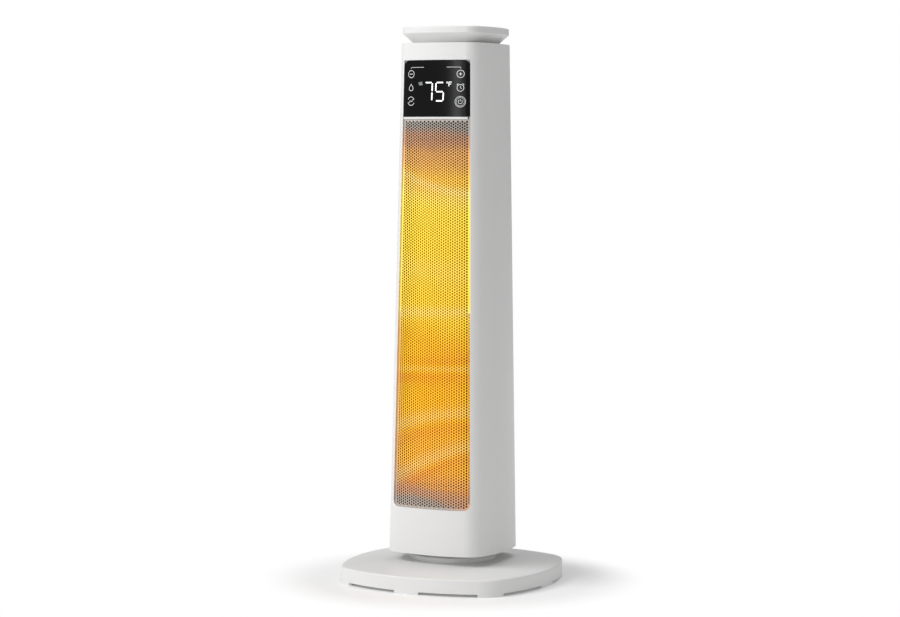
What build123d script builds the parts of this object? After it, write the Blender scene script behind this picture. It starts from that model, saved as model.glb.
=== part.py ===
from build123d import *
from math import acos, atan2, cos, degrees, pi, radians, sin, sqrt, tan
import os

# Tower fan heater on an oscillating stand, in millimetres.
# The origin is on the floor under the centre of the base, +Z is up and the front faces -Y.

os.makedirs("parts", exist_ok=True)

# Clearances
running_gap = 0.05
part_gap = 0.3
cut_margin = 1.0

# Stand
base_half_width = 115.4
base_bow = 1.661
base_corner = 0.355
base_top_edge = 18.4
base_dome_rise = 6.1
base_wall = 2.6
base_edge_round = 2.0
skirt_lift = 3.1
plate_setback = 1.0
tab_width = 29.0
pedestal_radius = 48.5
pedestal_height = 5.2
pedestal_chamfer = 0.9
bottom_plate_thickness = 2.5
weight_radius = 88.0
weight_thickness = 4.0
weight_gap = 1.0
foot_radius = 8.0
foot_chamfer = 0.8
foot_offset = 72.0
screw_boss_radius = 5.0
screw_boss_offset = 62.0

# Tower body, a tapered rounded square with bowed sides
body_bottom = 34.4
body_top = 592.2
body_bottom_half_width = 63.1
body_top_half_width = 53.1
body_bow = 2.5
body_corner = 0.36
body_wall = 3.2
rear_seam = 0.76
deck_thickness = 3.0

# Cap over the lifting groove
cap_neck_half_width = 41.3
cap_rim_half_width = 52.3
cap_rim_bottom = 603.0
cap_rim_height = 7.0
cap_wall = 2.5
cap_edge_round = 1.4
cap_screw_inset = 7.5

# Front window with its panel, strip and grille
window_bottom_half_width = 46.9
window_top_half_width = 39.9
window_bottom = 84.8
window_top = 573.5
window_corner = 7.5
panel_bottom = 512.0
strip_bottom = 509.6
window_ledge_width = 2.0
window_ledge_thickness = 1.8
front_recess = 0.8
panel_thickness = 2.0
grille_thickness = 0.8
grille_border = 6.0
grille_hole_radius = 4.0
grille_hole_pitch = 11.6
grille_hole_columns = 8
sensor_window_radius = 0.9
sensor_window_place = 38.8

# Swivel
post_radius = 14.0
post_bore = 10.0
post_flange_radius = 27.0
post_flange_thickness = 3.0
washer_thickness = 2.0
washer_inner_radius = 30.0
washer_outer_radius = 44.0
collar_radius = 46.0
tower_plate_thickness = 3.0
hub_radius = 20.0
hub_height = 3.0
retainer_thickness = 1.5
retainer_radius = 22.0
gear_module = 1.0
sun_teeth = 48
pinion_teeth = 16
gear_thickness = 6.0
gear_backlash = 0.3
pressure_angle = 20.0
circlip_thickness = 1.2
circlip_radius = 17.0
swivel_motor_radius = 14.0
swivel_motor_height = 17.0
bracket_thickness = 2.0
bracket_pillar_radius = 3.0
bracket_pillar_spacing = 36.0
pinion_shaft_radius = 2.5
pinion_angle = 180.0
gear_dedendum = 1.25
gear_addendum = 0.9
post_end = 2.0
bracket_gap = 1.0
motor_chamfer = 1.0
shaft_setback = 1.0

# Blower
wheel_axis_depth = 9.0
wheel_radius = 25.0
wheel_bore = 4.0
wheel_bottom = 116.0
wheel_height = 368.0
wheel_discs = 5
wheel_disc_thickness = 2.0
blade_count = 24
blade_depth = 7.0
blade_thickness = 0.9
blade_sweep = 12.0
blade_bow = 10.0
blower_gap = 2.5
scroll_start_turn = 70.0
scroll_middle_turn = 145.0
scroll_end_turn = 218.0
scroll_middle_growth = 3.0
scroll_growth = 9.0
tongue_tip_turn = -18.0
tongue_end_turn = 8.0
duct_wall = 2.0
duct_plate_clearance = 4.0
motor_radius = 27.0
motor_height = 40.0
bearing_radius = 10.0
bearing_flange = 1.0

# Heating element
heater_half_width = 34.0
heater_front = -43.0
heater_depth = 14.0
heater_frame_wall = 2.5
heater_frame_end = 8.0
ceramic_bar_width = 5.0
ceramic_bar_count = 4
fin_thickness = 1.2
fin_pitch = 12.0
fin_setback = 2.0
cutoff_radius = 7.0
cutoff_height = 6.0
terminal_width = 6.3
terminal_thickness = 0.8
terminal_length = 9.0

# Electronics
board_thickness = 1.6
board_half_width = 34.0
board_bottom = 516.0
board_height = 54.0
display_width = 44.0
display_height = 28.0
display_depth = 7.0
touch_pad_radius = 5.0
touch_pad_column = 30.7
touch_pad_rows = (528.4, 543.4, 558.4)
tray_thickness = 2.0
standoff_radius = 2.5
standoff_height = 5.0
standoff_inset = 4.0
power_board_half_width = 30.0
power_board_height = 70.0
relay_width = 15.0
relay_depth = 16.0
relay_height = 20.0
relay_gap = 4.0
transformer_width = 26.0
transformer_depth = 18.0
transformer_height = 22.0
capacitor_radius = 6.5
capacitor_length = 15.0
capacitor_gap = 2.0

# Rear cover and its fittings
slot_width = 3.2
slot_pitch = 6.4
slot_columns = 11
slot_length = 52.0
slot_rows = 6
slot_row_pitch = 62.0
slot_field_middle = 300.0
rocker_place = 82.0
rocker_half_width = 6.6
rocker_half_height = 10.0
rocker_key_half_height = 8.8
rocker_key_proud = 3.4
rocker_key_dip = 1.2
rocker_key_depth = 4.0
rocker_tilt = 10.0
rocker_pin_radius = 1.2
rocker_housing_wall = 1.4
rocker_housing_depth = 16.0
rocker_bezel_width = 3.0
rocker_bezel_thickness = 1.6
gland_place = 52.0
gland_radius = 6.0
gland_flange_radius = 9.0
gland_flange_thickness = 2.0
gland_bore = 3.4
gland_length = 12.0
gland_nut_thickness = 3.0
screw_radius = 1.5
screw_head_radius = 2.8
screw_head_height = 2.0
screw_length = 10.0

# Tip-over switch
plunger_radius = 4.0
plunger_travel = 6.0
plunger_offset = 40.0
plunger_stem_radius = 2.0
switch_housing_radius = 7.0
switch_housing_height = 13.0
switch_housing_wall = 1.2
switch_length = 12.0
switch_width = 8.0
switch_cap = 3.0
shoulder_thickness = 1.5
stem_reach = 1.8
plunger_chamfer = 0.8

# Heights and places that follow from the sizes above
plate_bottom = skirt_lift + plate_setback
plate_top = plate_bottom + bottom_plate_thickness
pedestal_bottom = base_top_edge + base_dome_rise
pedestal_top = pedestal_bottom + pedestal_height
post_flange_top = pedestal_top - base_wall
washer_top = pedestal_top + washer_thickness
collar_bottom = washer_top + 2 * running_gap
tower_plate_top = body_bottom + tower_plate_thickness
hub_top = tower_plate_top + hub_height
retainer_bottom = hub_top + part_gap
sun_bottom = retainer_bottom + retainer_thickness
sun_top = sun_bottom + gear_thickness
post_top = sun_top + circlip_thickness + post_end
gear_centres = gear_module * (sun_teeth + pinion_teeth) / 2
pinion_x = gear_centres * cos(radians(pinion_angle))
pinion_y = gear_centres * sin(radians(pinion_angle))
pinion_place = (pinion_x, pinion_y)
pinion_shaft_hole = pinion_shaft_radius + running_gap
bracket_bottom = sun_top + bracket_gap
swivel_motor_bottom = bracket_bottom + bracket_thickness
wheel_top = wheel_bottom + wheel_height
duct_bottom = wheel_bottom - duct_plate_clearance
duct_top = wheel_top + duct_plate_clearance
motor_bottom = duct_bottom - motor_height - duct_wall
heater_bottom = duct_bottom + part_gap
heater_top = duct_top - part_gap
heater_back = heater_front + heater_depth
cap_top = cap_rim_bottom + cap_rim_height
deck_bottom = body_top - deck_thickness
inner_inset = body_wall + part_gap
grille_recess = front_recess + panel_thickness - grille_thickness
screw_hole = screw_radius + running_gap
switch_top = plate_top + switch_housing_height
wheel_centre = (0, wheel_axis_depth)
ledge_inset = front_recess + panel_thickness + window_ledge_thickness


def tower_half_width(height):
    """Half the width of the tower body at a height."""
    share = (height - body_bottom) / (body_top - body_bottom)
    return body_bottom_half_width + share * (body_top_half_width - body_bottom_half_width)


def bowed_square(half_width, bow, corner, inset=0):
    """A square with bowed sides and round corners, drawn that far inside its outline."""
    side_radius = bow * half_width
    corner_radius = corner * half_width
    side_centre = half_width - side_radius
    reach = side_radius - corner_radius
    corner_centre = (side_centre + sqrt(2 * reach**2 - side_centre**2)) / 2
    half_turn = degrees(atan2(corner_centre, corner_centre - side_centre))
    with BuildSketch() as outline:
        with BuildLine():
            for quarter in range(4):
                turn = 90 * quarter
                side_at = Vector(side_centre, 0).rotate(Axis.Z, turn)
                corner_at = Vector(corner_centre, corner_centre).rotate(Axis.Z, turn)
                CenterArc(side_at, side_radius - inset, turn - half_turn, 2 * half_turn)
                CenterArc(corner_at, corner_radius - inset, turn + half_turn, 90 - 2 * half_turn)
        make_face()
    return outline.sketch


def tower_block(bottom, top, inset=0):
    """The space inside the tower's outline between two heights."""
    with BuildPart() as block:
        for height in (bottom, top):
            with BuildSketch(Plane.XY.offset(height)):
                add(bowed_square(tower_half_width(height), body_bow, body_corner, inset))
        loft(ruled=True)
    return block.part


def window_half_width(height):
    """Half the width of the front window at a height."""
    share = (height - window_bottom) / (window_top - window_bottom)
    return window_bottom_half_width + share * (window_top_half_width - window_bottom_half_width)


def window_block(bottom, top, gap=0, round_bottom=True, round_top=True):
    """The front window's outline between two heights, as a prism through the front wall."""
    low = bottom + gap
    high = top - gap
    low_half = window_half_width(low) - gap
    high_half = window_half_width(high) - gap
    with BuildPart() as block:
        with BuildSketch(Plane.XZ):
            with BuildLine():
                Polyline(
                    (-low_half, low),
                    (low_half, low),
                    (high_half, high),
                    (-high_half, high),
                    close=True,
                )
            face = make_face()
            corners = face.vertices().group_by(Axis.Y)
            if round_bottom:
                fillet(corners[0], window_corner - gap)
            if round_top:
                fillet(corners[-1], window_corner - gap)
        extrude(amount=body_bottom_half_width + cut_margin)
    return block.part


def front_depth(across, height, inset):
    """How far in front of the axis the bowed face stands, at a place on it."""
    side_radius = body_bow * tower_half_width(height)
    side_centre = tower_half_width(height) - side_radius
    return side_centre + sqrt((side_radius - inset) ** 2 - across**2)


def front_sheet(bottom, top, recess, thickness, round_bottom=True, round_top=True):
    """A bowed plate that fills a part of the front window, a little behind the body's surface."""
    with BuildPart() as sheet:
        add(tower_block(body_bottom, body_top, recess))
        add(tower_block(body_bottom, body_top, recess + thickness), mode=Mode.SUBTRACT)
        add(window_block(bottom, top, part_gap, round_bottom, round_top), mode=Mode.INTERSECT)
    return sheet.part


def ledge_space():
    """The room that the window's ledge takes inside the tower."""
    with BuildPart() as space:
        add(window_block(window_bottom, window_top, -window_ledge_width - part_gap))
        add(tower_block(body_bottom, body_top, ledge_inset + part_gap), mode=Mode.SUBTRACT)
    return space.part


def rear_zone(gap=0):
    """The space behind the seam between the front housing and the rear cover."""
    reach = body_bottom_half_width + cut_margin
    with BuildPart() as zone:
        for height in (body_bottom, body_top):
            seam = rear_seam * tower_half_width(height) + gap
            with BuildSketch(Plane.XY.offset(height)):
                with Locations((0, seam)):
                    Rectangle(2 * reach, reach, align=(Align.CENTER, Align.MIN))
        loft(ruled=True)
    return zone.part


def cylinder(centre, bottom, top, radius, bore=0):
    """An upright round bar or tube between two heights."""
    with BuildPart() as bar:
        with BuildSketch(Plane.XY.offset(bottom)):
            with Locations(centre):
                Circle(radius)
                if bore:
                    Circle(bore, mode=Mode.SUBTRACT)
        extrude(amount=top - bottom)
    return bar.part


def hanging_screw(centre, head_bottom, length=screw_length):
    """A screw driven in from below."""
    with BuildPart() as screw:
        add(cylinder(centre, head_bottom, head_bottom + screw_head_height, screw_head_radius))
        add(cylinder(centre, head_bottom, head_bottom + screw_head_height + length, screw_radius))
    return screw.part


def dome_height(radius):
    """The height of the stand's domed top at a distance from the axis."""
    share = (base_half_width - radius) / (base_half_width - pedestal_radius)
    return base_top_edge + share * base_dome_rise


def ring_places(radius, count, start=0):
    """Points spaced evenly round the axis."""
    turns = [radians(start + 360 * index / count) for index in range(count)]
    return [(radius * cos(turn), radius * sin(turn)) for turn in turns]


def gear_outline(teeth, turn, bore):
    """A spur gear's outline, with each flank through its root, pitch and tip points."""
    pitch_radius = gear_module * teeth / 2
    base_radius = pitch_radius * cos(radians(pressure_angle))
    root_radius = pitch_radius - gear_dedendum * gear_module
    tip_radius = pitch_radius + gear_addendum * gear_module

    def half_angle(radius):
        flank = acos(min(1, base_radius / radius))
        pitch_flank = radians(pressure_angle)
        widening = tan(pitch_flank) - pitch_flank - tan(flank) + flank
        return pi / (2 * teeth) - gear_backlash / (2 * pitch_radius) + widening

    stations = [root_radius, pitch_radius, tip_radius]
    points = []
    for tooth in range(teeth):
        middle = radians(turn) + 2 * pi * tooth / teeth
        for radius in stations:
            angle = middle - half_angle(radius)
            points.append((radius * cos(angle), radius * sin(angle)))
        for radius in reversed(stations):
            angle = middle + half_angle(radius)
            points.append((radius * cos(angle), radius * sin(angle)))
    with BuildSketch() as outline:
        with BuildLine():
            Polyline(*points, close=True)
        make_face()
        Circle(bore, mode=Mode.SUBTRACT)
    return outline.sketch


def base_block(inset, lowest, rise):
    """The stand's outline from a height up to its domed top."""
    with BuildPart() as block:
        with BuildSketch(Plane.XY.offset(lowest)):
            add(bowed_square(base_half_width, base_bow, base_corner, inset))
        extrude(amount=base_top_edge - inset - lowest)
        with BuildSketch(Plane.XY.offset(base_top_edge - inset)):
            add(bowed_square(base_half_width, base_bow, base_corner, inset))
        with BuildSketch(Plane.XY.offset(base_top_edge - inset + rise)):
            add(bowed_square(pedestal_radius, base_bow, base_corner))
        loft(ruled=True)
    return block.part


# Base cover: a skirted tray with a shallow dome, a pedestal and eight tabs that reach the floor
boss_places = ring_places(screw_boss_offset, 4, 45)
post_screw_places = ring_places((post_radius + post_flange_radius) / 2, 4, 45)
with BuildPart() as base_cover:
    add(base_block(0, skirt_lift, base_dome_rise))
    rim = base_cover.edges().filter_by(lambda edge: abs(edge.center().Z - base_top_edge) < part_gap)
    fillet(rim, base_edge_round)
    add(base_block(base_wall, 0, base_dome_rise), mode=Mode.SUBTRACT)
    add(cylinder((0, 0), pedestal_bottom - base_wall, pedestal_top, pedestal_radius))
    chamfer(base_cover.edges().group_by(Axis.Z)[-1], pedestal_chamfer)
    add(cylinder((0, 0), 0, post_flange_top, pedestal_radius - base_wall), mode=Mode.SUBTRACT)
    add(cylinder((0, 0), 0, pedestal_top, post_radius + part_gap), mode=Mode.SUBTRACT)
    boss_top = dome_height(screw_boss_offset + screw_boss_radius) - base_wall / 2
    for place in boss_places:
        add(cylinder(place, plate_top, boss_top, screw_boss_radius))
        add(cylinder(place, 0, plate_top + screw_length, screw_hole), mode=Mode.SUBTRACT)
    for place in post_screw_places:
        add(cylinder(place, post_flange_top, pedestal_top, screw_hole), mode=Mode.SUBTRACT)
    with BuildSketch(Plane.XY):
        add(bowed_square(base_half_width, base_bow, base_corner))
        add(bowed_square(base_half_width, base_bow, base_corner, base_wall), mode=Mode.SUBTRACT)
        with PolarLocations(base_half_width, 8):
            Rectangle(base_half_width, tab_width, mode=Mode.INTERSECT)
    extrude(amount=skirt_lift)
base_cover.part.label = "base_cover"
export_step(base_cover.part, "parts/base_cover.step")

# Bottom plate of the stand, with a hole for the tip-over plunger
plunger_place = (0, plunger_offset)
with BuildPart() as base_bottom_plate:
    with BuildSketch(Plane.XY.offset(plate_bottom)):
        add(bowed_square(base_half_width, base_bow, base_corner, base_wall + part_gap))
        with Locations(*boss_places):
            Circle(screw_hole, mode=Mode.SUBTRACT)
        with Locations(plunger_place):
            Circle(plunger_radius + part_gap, mode=Mode.SUBTRACT)
    extrude(amount=bottom_plate_thickness)
base_bottom_plate.part.label = "base_bottom_plate"
export_step(base_bottom_plate.part, "parts/base_bottom_plate.step")

# Steel ring that lowers the centre of gravity, held down by the screw bosses' collars
with BuildPart() as base_weight:
    with BuildSketch(Plane.XY.offset(plate_top)):
        Circle(weight_radius)
        Circle(plunger_offset + switch_housing_radius + weight_gap, mode=Mode.SUBTRACT)
        with Locations(*boss_places):
            Circle(screw_boss_radius + part_gap, mode=Mode.SUBTRACT)
    extrude(amount=weight_thickness)
base_weight.part.label = "base_weight"
export_step(base_weight.part, "parts/base_weight.step")

with BuildPart() as rubber_feet:
    with BuildSketch():
        with GridLocations(2 * foot_offset, 2 * foot_offset, 2, 2):
            Circle(foot_radius)
    extrude(amount=plate_bottom)
    chamfer(rubber_feet.edges().group_by(Axis.Z)[0], foot_chamfer)
rubber_feet.part.label = "rubber_feet"
export_step(rubber_feet.part, "parts/rubber_feet.step")

with BuildPart() as base_screws:
    for place in boss_places:
        add(hanging_screw(place, plate_bottom - screw_head_height))
base_screws.part.label = "base_screws"
export_step(base_screws.part, "parts/base_screws.step")

# Hollow swivel post, bolted under the pedestal
with BuildPart() as swivel_post:
    add(cylinder((0, 0), post_flange_top - post_flange_thickness, post_flange_top, post_flange_radius))
    add(cylinder((0, 0), post_flange_top, post_top, post_radius))
    add(cylinder((0, 0), 0, post_top, post_bore), mode=Mode.SUBTRACT)
    for place in post_screw_places:
        add(cylinder(place, 0, post_flange_top, screw_hole), mode=Mode.SUBTRACT)
swivel_post.part.label = "swivel_post"
export_step(swivel_post.part, "parts/swivel_post.step")

with BuildPart() as post_screws:
    for place in post_screw_places:
        flange_bottom = post_flange_top - post_flange_thickness
        length = post_flange_thickness + base_wall - part_gap
        add(hanging_screw(place, flange_bottom - screw_head_height, length))
post_screws.part.label = "post_screws"
export_step(post_screws.part, "parts/post_screws.step")

# Low-friction ring that the tower turns on
with BuildPart() as thrust_washer:
    add(cylinder((0, 0), pedestal_top, washer_top, washer_outer_radius, washer_inner_radius))
thrust_washer.part.label = "thrust_washer"
export_step(thrust_washer.part, "parts/thrust_washer.step")

with BuildPart() as retaining_washer:
    add(cylinder((0, 0), retainer_bottom, sun_bottom, retainer_radius, post_radius + running_gap))
retaining_washer.part.label = "retaining_washer"
export_step(retaining_washer.part, "parts/retaining_washer.step")

with BuildPart() as sun_gear:
    with BuildSketch(Plane.XY.offset(sun_bottom)):
        add(gear_outline(sun_teeth, pinion_angle, post_radius + running_gap))
    extrude(amount=gear_thickness)
sun_gear.part.label = "sun_gear"
export_step(sun_gear.part, "parts/sun_gear.step")

with BuildPart() as post_circlip:
    with BuildSketch(Plane.XY.offset(sun_top)):
        Circle(circlip_radius)
        Circle(post_radius + running_gap, mode=Mode.SUBTRACT)
        with Locations((circlip_radius, 0)):
            Rectangle(circlip_radius, circlip_radius / 2, mode=Mode.SUBTRACT)
    extrude(amount=circlip_thickness)
post_circlip.part.label = "post_circlip"
export_step(post_circlip.part, "parts/post_circlip.step")

# Tip-over switch: a sprung plunger that the floor holds in while the heater stands
shoulder_radius = switch_housing_radius - switch_housing_wall
shoulder_bottom = plate_top + plunger_travel + part_gap
shoulder_top = shoulder_bottom + shoulder_thickness
stem_top = switch_top + stem_reach
spring_room_top = switch_top - switch_housing_wall
with BuildPart() as tip_switch_housing:
    add(cylinder(plunger_place, plate_top, switch_top, switch_housing_radius))
    add(cylinder(plunger_place, plate_top, spring_room_top, shoulder_radius + part_gap), mode=Mode.SUBTRACT)
    add(cylinder(plunger_place, plate_top, switch_top, plunger_stem_radius + part_gap), mode=Mode.SUBTRACT)
tip_switch_housing.part.label = "tip_switch_housing"
export_step(tip_switch_housing.part, "parts/tip_switch_housing.step")

with BuildPart() as tip_plunger:
    add(cylinder(plunger_place, 0, shoulder_bottom, plunger_radius))
    chamfer(tip_plunger.edges().group_by(Axis.Z)[0], plunger_chamfer)
    add(cylinder(plunger_place, shoulder_bottom, shoulder_top, shoulder_radius))
    add(cylinder(plunger_place, shoulder_top, stem_top, plunger_stem_radius))
tip_plunger.part.label = "tip_plunger"
export_step(tip_plunger.part, "parts/tip_plunger.step")

with BuildPart() as tip_micro_switch:
    with BuildSketch(Plane.XY.offset(switch_top)):
        with Locations(plunger_place):
            Rectangle(switch_length, switch_width)
            Circle(plunger_stem_radius + part_gap, mode=Mode.SUBTRACT)
    extrude(amount=stem_top + part_gap - switch_top)
    with BuildSketch(Plane.XY.offset(stem_top + part_gap)):
        with Locations(plunger_place):
            Rectangle(switch_length, switch_width)
    extrude(amount=switch_cap)
tip_micro_switch.part.label = "tip_micro_switch"
export_step(tip_micro_switch.part, "parts/tip_micro_switch.step")

# Tower bottom plate, with the collar that rides on the washer and a hub round the post
with BuildPart() as tower_bottom_plate:
    add(tower_block(body_bottom, tower_plate_top, inner_inset))
    add(cylinder((0, 0), collar_bottom, tower_plate_top, collar_radius))
    add(cylinder((0, 0), tower_plate_top, hub_top, hub_radius))
    add(cylinder((0, 0), 0, hub_top, post_radius + running_gap), mode=Mode.SUBTRACT)
    add(cylinder(pinion_place, body_bottom, tower_plate_top, pinion_shaft_hole), mode=Mode.SUBTRACT)
tower_bottom_plate.part.label = "tower_bottom_plate"
export_step(tower_bottom_plate.part, "parts/tower_bottom_plate.step")

# Front housing: the wrap-round shell with its window, and a ledge that carries what fills it
with BuildPart() as window_ledge:
    add(tower_block(body_bottom, body_top, front_recess + panel_thickness))
    add(tower_block(body_bottom - cut_margin, body_top + cut_margin, ledge_inset), mode=Mode.SUBTRACT)
    add(window_block(window_bottom, window_top, -window_ledge_width), mode=Mode.INTERSECT)
    add(window_block(window_bottom, window_top, window_ledge_width), mode=Mode.SUBTRACT)
with BuildPart() as body_shell:
    add(tower_block(body_bottom, body_top))
    add(tower_block(body_bottom - cut_margin, body_top + cut_margin, body_wall), mode=Mode.SUBTRACT)
with BuildPart() as front_housing:
    add(body_shell.part)
    add(rear_zone(), mode=Mode.SUBTRACT)
    add(window_block(window_bottom, window_top), mode=Mode.SUBTRACT)
    add(window_ledge.part)
front_housing.part.label = "front_housing"
export_step(front_housing.part, "parts/front_housing.step")

# Rear cover with the air intake, the mains switch's opening and the hole for the cord gland
rocker_hole_half_width = rocker_half_width + rocker_housing_wall + part_gap
rocker_hole_half_height = rocker_half_height + rocker_housing_wall + part_gap
with BuildPart() as rear_cover:
    add(body_shell.part)
    add(rear_zone(part_gap), mode=Mode.INTERSECT)
    with BuildSketch(Plane.XZ):
        with Locations((0, slot_field_middle)):
            with GridLocations(slot_pitch, slot_row_pitch, slot_columns, slot_rows):
                SlotOverall(slot_length, slot_width, rotation=90)
        with Locations((0, rocker_place)):
            Rectangle(2 * rocker_hole_half_width, 2 * rocker_hole_half_height)
        with Locations((0, gland_place)):
            Circle(gland_radius + running_gap)
    extrude(amount=-body_bottom_half_width - cut_margin, mode=Mode.SUBTRACT)
rear_cover.part.label = "rear_cover"
export_step(rear_cover.part, "parts/rear_cover.step")

# Top deck, and the cap that stands on it over the lifting groove
deck_screw_places = ring_places(cap_neck_half_width - cap_screw_inset, 4, 45)
with BuildPart() as top_deck:
    add(tower_block(deck_bottom, body_top, inner_inset))
    for place in deck_screw_places:
        add(cylinder(place, deck_bottom, body_top, screw_hole), mode=Mode.SUBTRACT)
top_deck.part.label = "top_deck"
export_step(top_deck.part, "parts/top_deck.step")

with BuildPart() as top_cap:
    with BuildSketch(Plane.XY.offset(body_top)):
        add(bowed_square(cap_neck_half_width, body_bow, body_corner))
    with BuildSketch(Plane.XY.offset(cap_rim_bottom)):
        add(bowed_square(cap_rim_half_width, body_bow, body_corner))
    loft(ruled=True)
    with BuildSketch(Plane.XY.offset(cap_rim_bottom)):
        add(bowed_square(cap_rim_half_width, body_bow, body_corner))
    extrude(amount=cap_rim_height)
    fillet(top_cap.edges().group_by(Axis.Z)[-1], cap_edge_round)
    with BuildSketch(Plane.XY.offset(body_top)):
        add(bowed_square(cap_neck_half_width, body_bow, body_corner, cap_wall))
    with BuildSketch(Plane.XY.offset(cap_rim_bottom)):
        add(bowed_square(cap_rim_half_width, body_bow, body_corner, cap_wall))
    loft(ruled=True, mode=Mode.SUBTRACT)
    with BuildSketch(Plane.XY.offset(cap_rim_bottom)):
        add(bowed_square(cap_rim_half_width, body_bow, body_corner, cap_wall))
    extrude(amount=cap_rim_height - cap_wall, mode=Mode.SUBTRACT)
    for place in deck_screw_places:
        add(cylinder(place, body_top, cap_top - cap_wall, screw_boss_radius))
        add(cylinder(place, body_top, body_top + screw_length, screw_hole), mode=Mode.SUBTRACT)
top_cap.part.label = "top_cap"
export_step(top_cap.part, "parts/top_cap.step")

with BuildPart() as cap_screws:
    for place in deck_screw_places:
        add(hanging_screw(place, deck_bottom - screw_head_height))
cap_screws.part.label = "cap_screws"
export_step(cap_screws.part, "parts/cap_screws.step")

# What fills the front window: the glossy panel, a trim strip and the grille
with BuildPart() as control_panel:
    add(front_sheet(panel_bottom - part_gap, window_top, front_recess, panel_thickness, round_bottom=False))
control_panel.part.label = "control_panel"
export_step(control_panel.part, "parts/control_panel.step")

with BuildPart() as trim_strip:
    add(
        front_sheet(
            strip_bottom - part_gap,
            panel_bottom - running_gap + part_gap,
            front_recess,
            panel_thickness,
            round_bottom=False,
            round_top=False,
        )
    )
    with BuildSketch(Plane.XZ):
        with Locations((sensor_window_place, (strip_bottom + panel_bottom) / 2)):
            Circle(sensor_window_radius + running_gap)
    extrude(amount=body_bottom_half_width, mode=Mode.SUBTRACT)
trim_strip.part.label = "trim_strip"
export_step(trim_strip.part, "parts/trim_strip.step")

strip_middle = (strip_bottom + panel_bottom) / 2
sensor_face = front_depth(sensor_window_place, strip_middle, front_recess)
with BuildPart() as sensor_window:
    with BuildSketch(Plane.XZ.offset(sensor_face - panel_thickness)):
        with Locations((sensor_window_place, strip_middle)):
            Circle(sensor_window_radius)
    extrude(amount=panel_thickness)
sensor_window.part.label = "sensor_window"
export_step(sensor_window.part, "parts/sensor_window.step")

grille_top = strip_bottom - running_gap
grille_rows = int((grille_top - window_bottom - 2 * grille_border) / grille_hole_pitch)
grille_middle = (grille_top + window_bottom) / 2
column_spacing = grille_hole_pitch * sqrt(3) / 2
columns_a_side = grille_hole_columns // 2
with BuildPart() as front_grille:
    add(front_sheet(window_bottom, grille_top + part_gap, grille_recess, grille_thickness, round_top=False))
    with BuildSketch(Plane.XZ):
        for side in (-1, 1):
            with Locations((side * column_spacing / 2, grille_middle + side * grille_hole_pitch / 4)):
                with GridLocations(2 * column_spacing, grille_hole_pitch, columns_a_side, grille_rows):
                    Circle(grille_hole_radius)
    extrude(amount=body_bottom_half_width + cut_margin, mode=Mode.SUBTRACT)
front_grille.part.label = "front_grille"
export_step(front_grille.part, "parts/front_grille.step")

# Swivel drive: a geared motor whose pinion walks round the fixed sun gear
with BuildPart() as swivel_motor_bracket:
    with BuildSketch(Plane.XY.offset(bracket_bottom)):
        with Locations(pinion_place):
            Rectangle(2 * bracket_pillar_radius + swivel_motor_radius, bracket_pillar_spacing)
            with GridLocations(0, bracket_pillar_spacing, 1, 2):
                Circle(bracket_pillar_radius)
            Circle(pinion_shaft_hole, mode=Mode.SUBTRACT)
    extrude(amount=bracket_thickness)
    with BuildSketch(Plane.XY.offset(tower_plate_top)):
        with Locations(pinion_place):
            with GridLocations(0, bracket_pillar_spacing, 1, 2):
                Circle(bracket_pillar_radius)
    extrude(amount=bracket_bottom - tower_plate_top)
swivel_motor_bracket.part.label = "swivel_motor_bracket"
export_step(swivel_motor_bracket.part, "parts/swivel_motor_bracket.step")

swivel_motor_top = swivel_motor_bottom + swivel_motor_height
shaft_seat = swivel_motor_bottom + swivel_motor_height / 2
with BuildPart() as swivel_motor:
    add(cylinder(pinion_place, swivel_motor_bottom, swivel_motor_top, swivel_motor_radius))
    chamfer(swivel_motor.edges().group_by(Axis.Z)[-1], motor_chamfer)
    add(cylinder(pinion_place, swivel_motor_bottom, shaft_seat, pinion_shaft_hole), mode=Mode.SUBTRACT)
swivel_motor.part.label = "swivel_motor"
export_step(swivel_motor.part, "parts/swivel_motor.step")

pinion_turn = pinion_angle + 180 + 180 / pinion_teeth
with BuildPart() as drive_pinion:
    with BuildSketch(Plane.XY.offset(sun_bottom)):
        with Locations(pinion_place):
            add(gear_outline(pinion_teeth, pinion_turn, pinion_shaft_radius))
    extrude(amount=gear_thickness)
drive_pinion.part.label = "drive_pinion"
export_step(drive_pinion.part, "parts/drive_pinion.step")

with BuildPart() as pinion_shaft:
    add(cylinder(pinion_place, body_bottom + shaft_setback, shaft_seat - part_gap, pinion_shaft_radius))
pinion_shaft.part.label = "pinion_shaft"
export_step(pinion_shaft.part, "parts/pinion_shaft.step")

# Blower: a tall cross-flow wheel between two plates, driven from below
with BuildPart() as duct_bottom_plate:
    add(tower_block(duct_bottom - duct_wall, duct_bottom, inner_inset))
    add(ledge_space(), mode=Mode.SUBTRACT)
    add(cylinder(wheel_centre, 0, duct_bottom, wheel_bore + part_gap), mode=Mode.SUBTRACT)
duct_bottom_plate.part.label = "duct_bottom_plate"
export_step(duct_bottom_plate.part, "parts/duct_bottom_plate.step")

bearing_hole = bearing_radius + running_gap
with BuildPart() as duct_top_plate:
    add(tower_block(duct_top, duct_top + duct_wall, inner_inset))
    add(ledge_space(), mode=Mode.SUBTRACT)
    add(cylinder(wheel_centre, duct_top, duct_top + duct_wall, bearing_hole), mode=Mode.SUBTRACT)
duct_top_plate.part.label = "duct_top_plate"
export_step(duct_top_plate.part, "parts/duct_top_plate.step")


def from_wheel(radius, turn):
    """A point at a distance and direction from the wheel's axis."""
    return (radius * cos(radians(turn)), wheel_axis_depth + radius * sin(radians(turn)))


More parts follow.
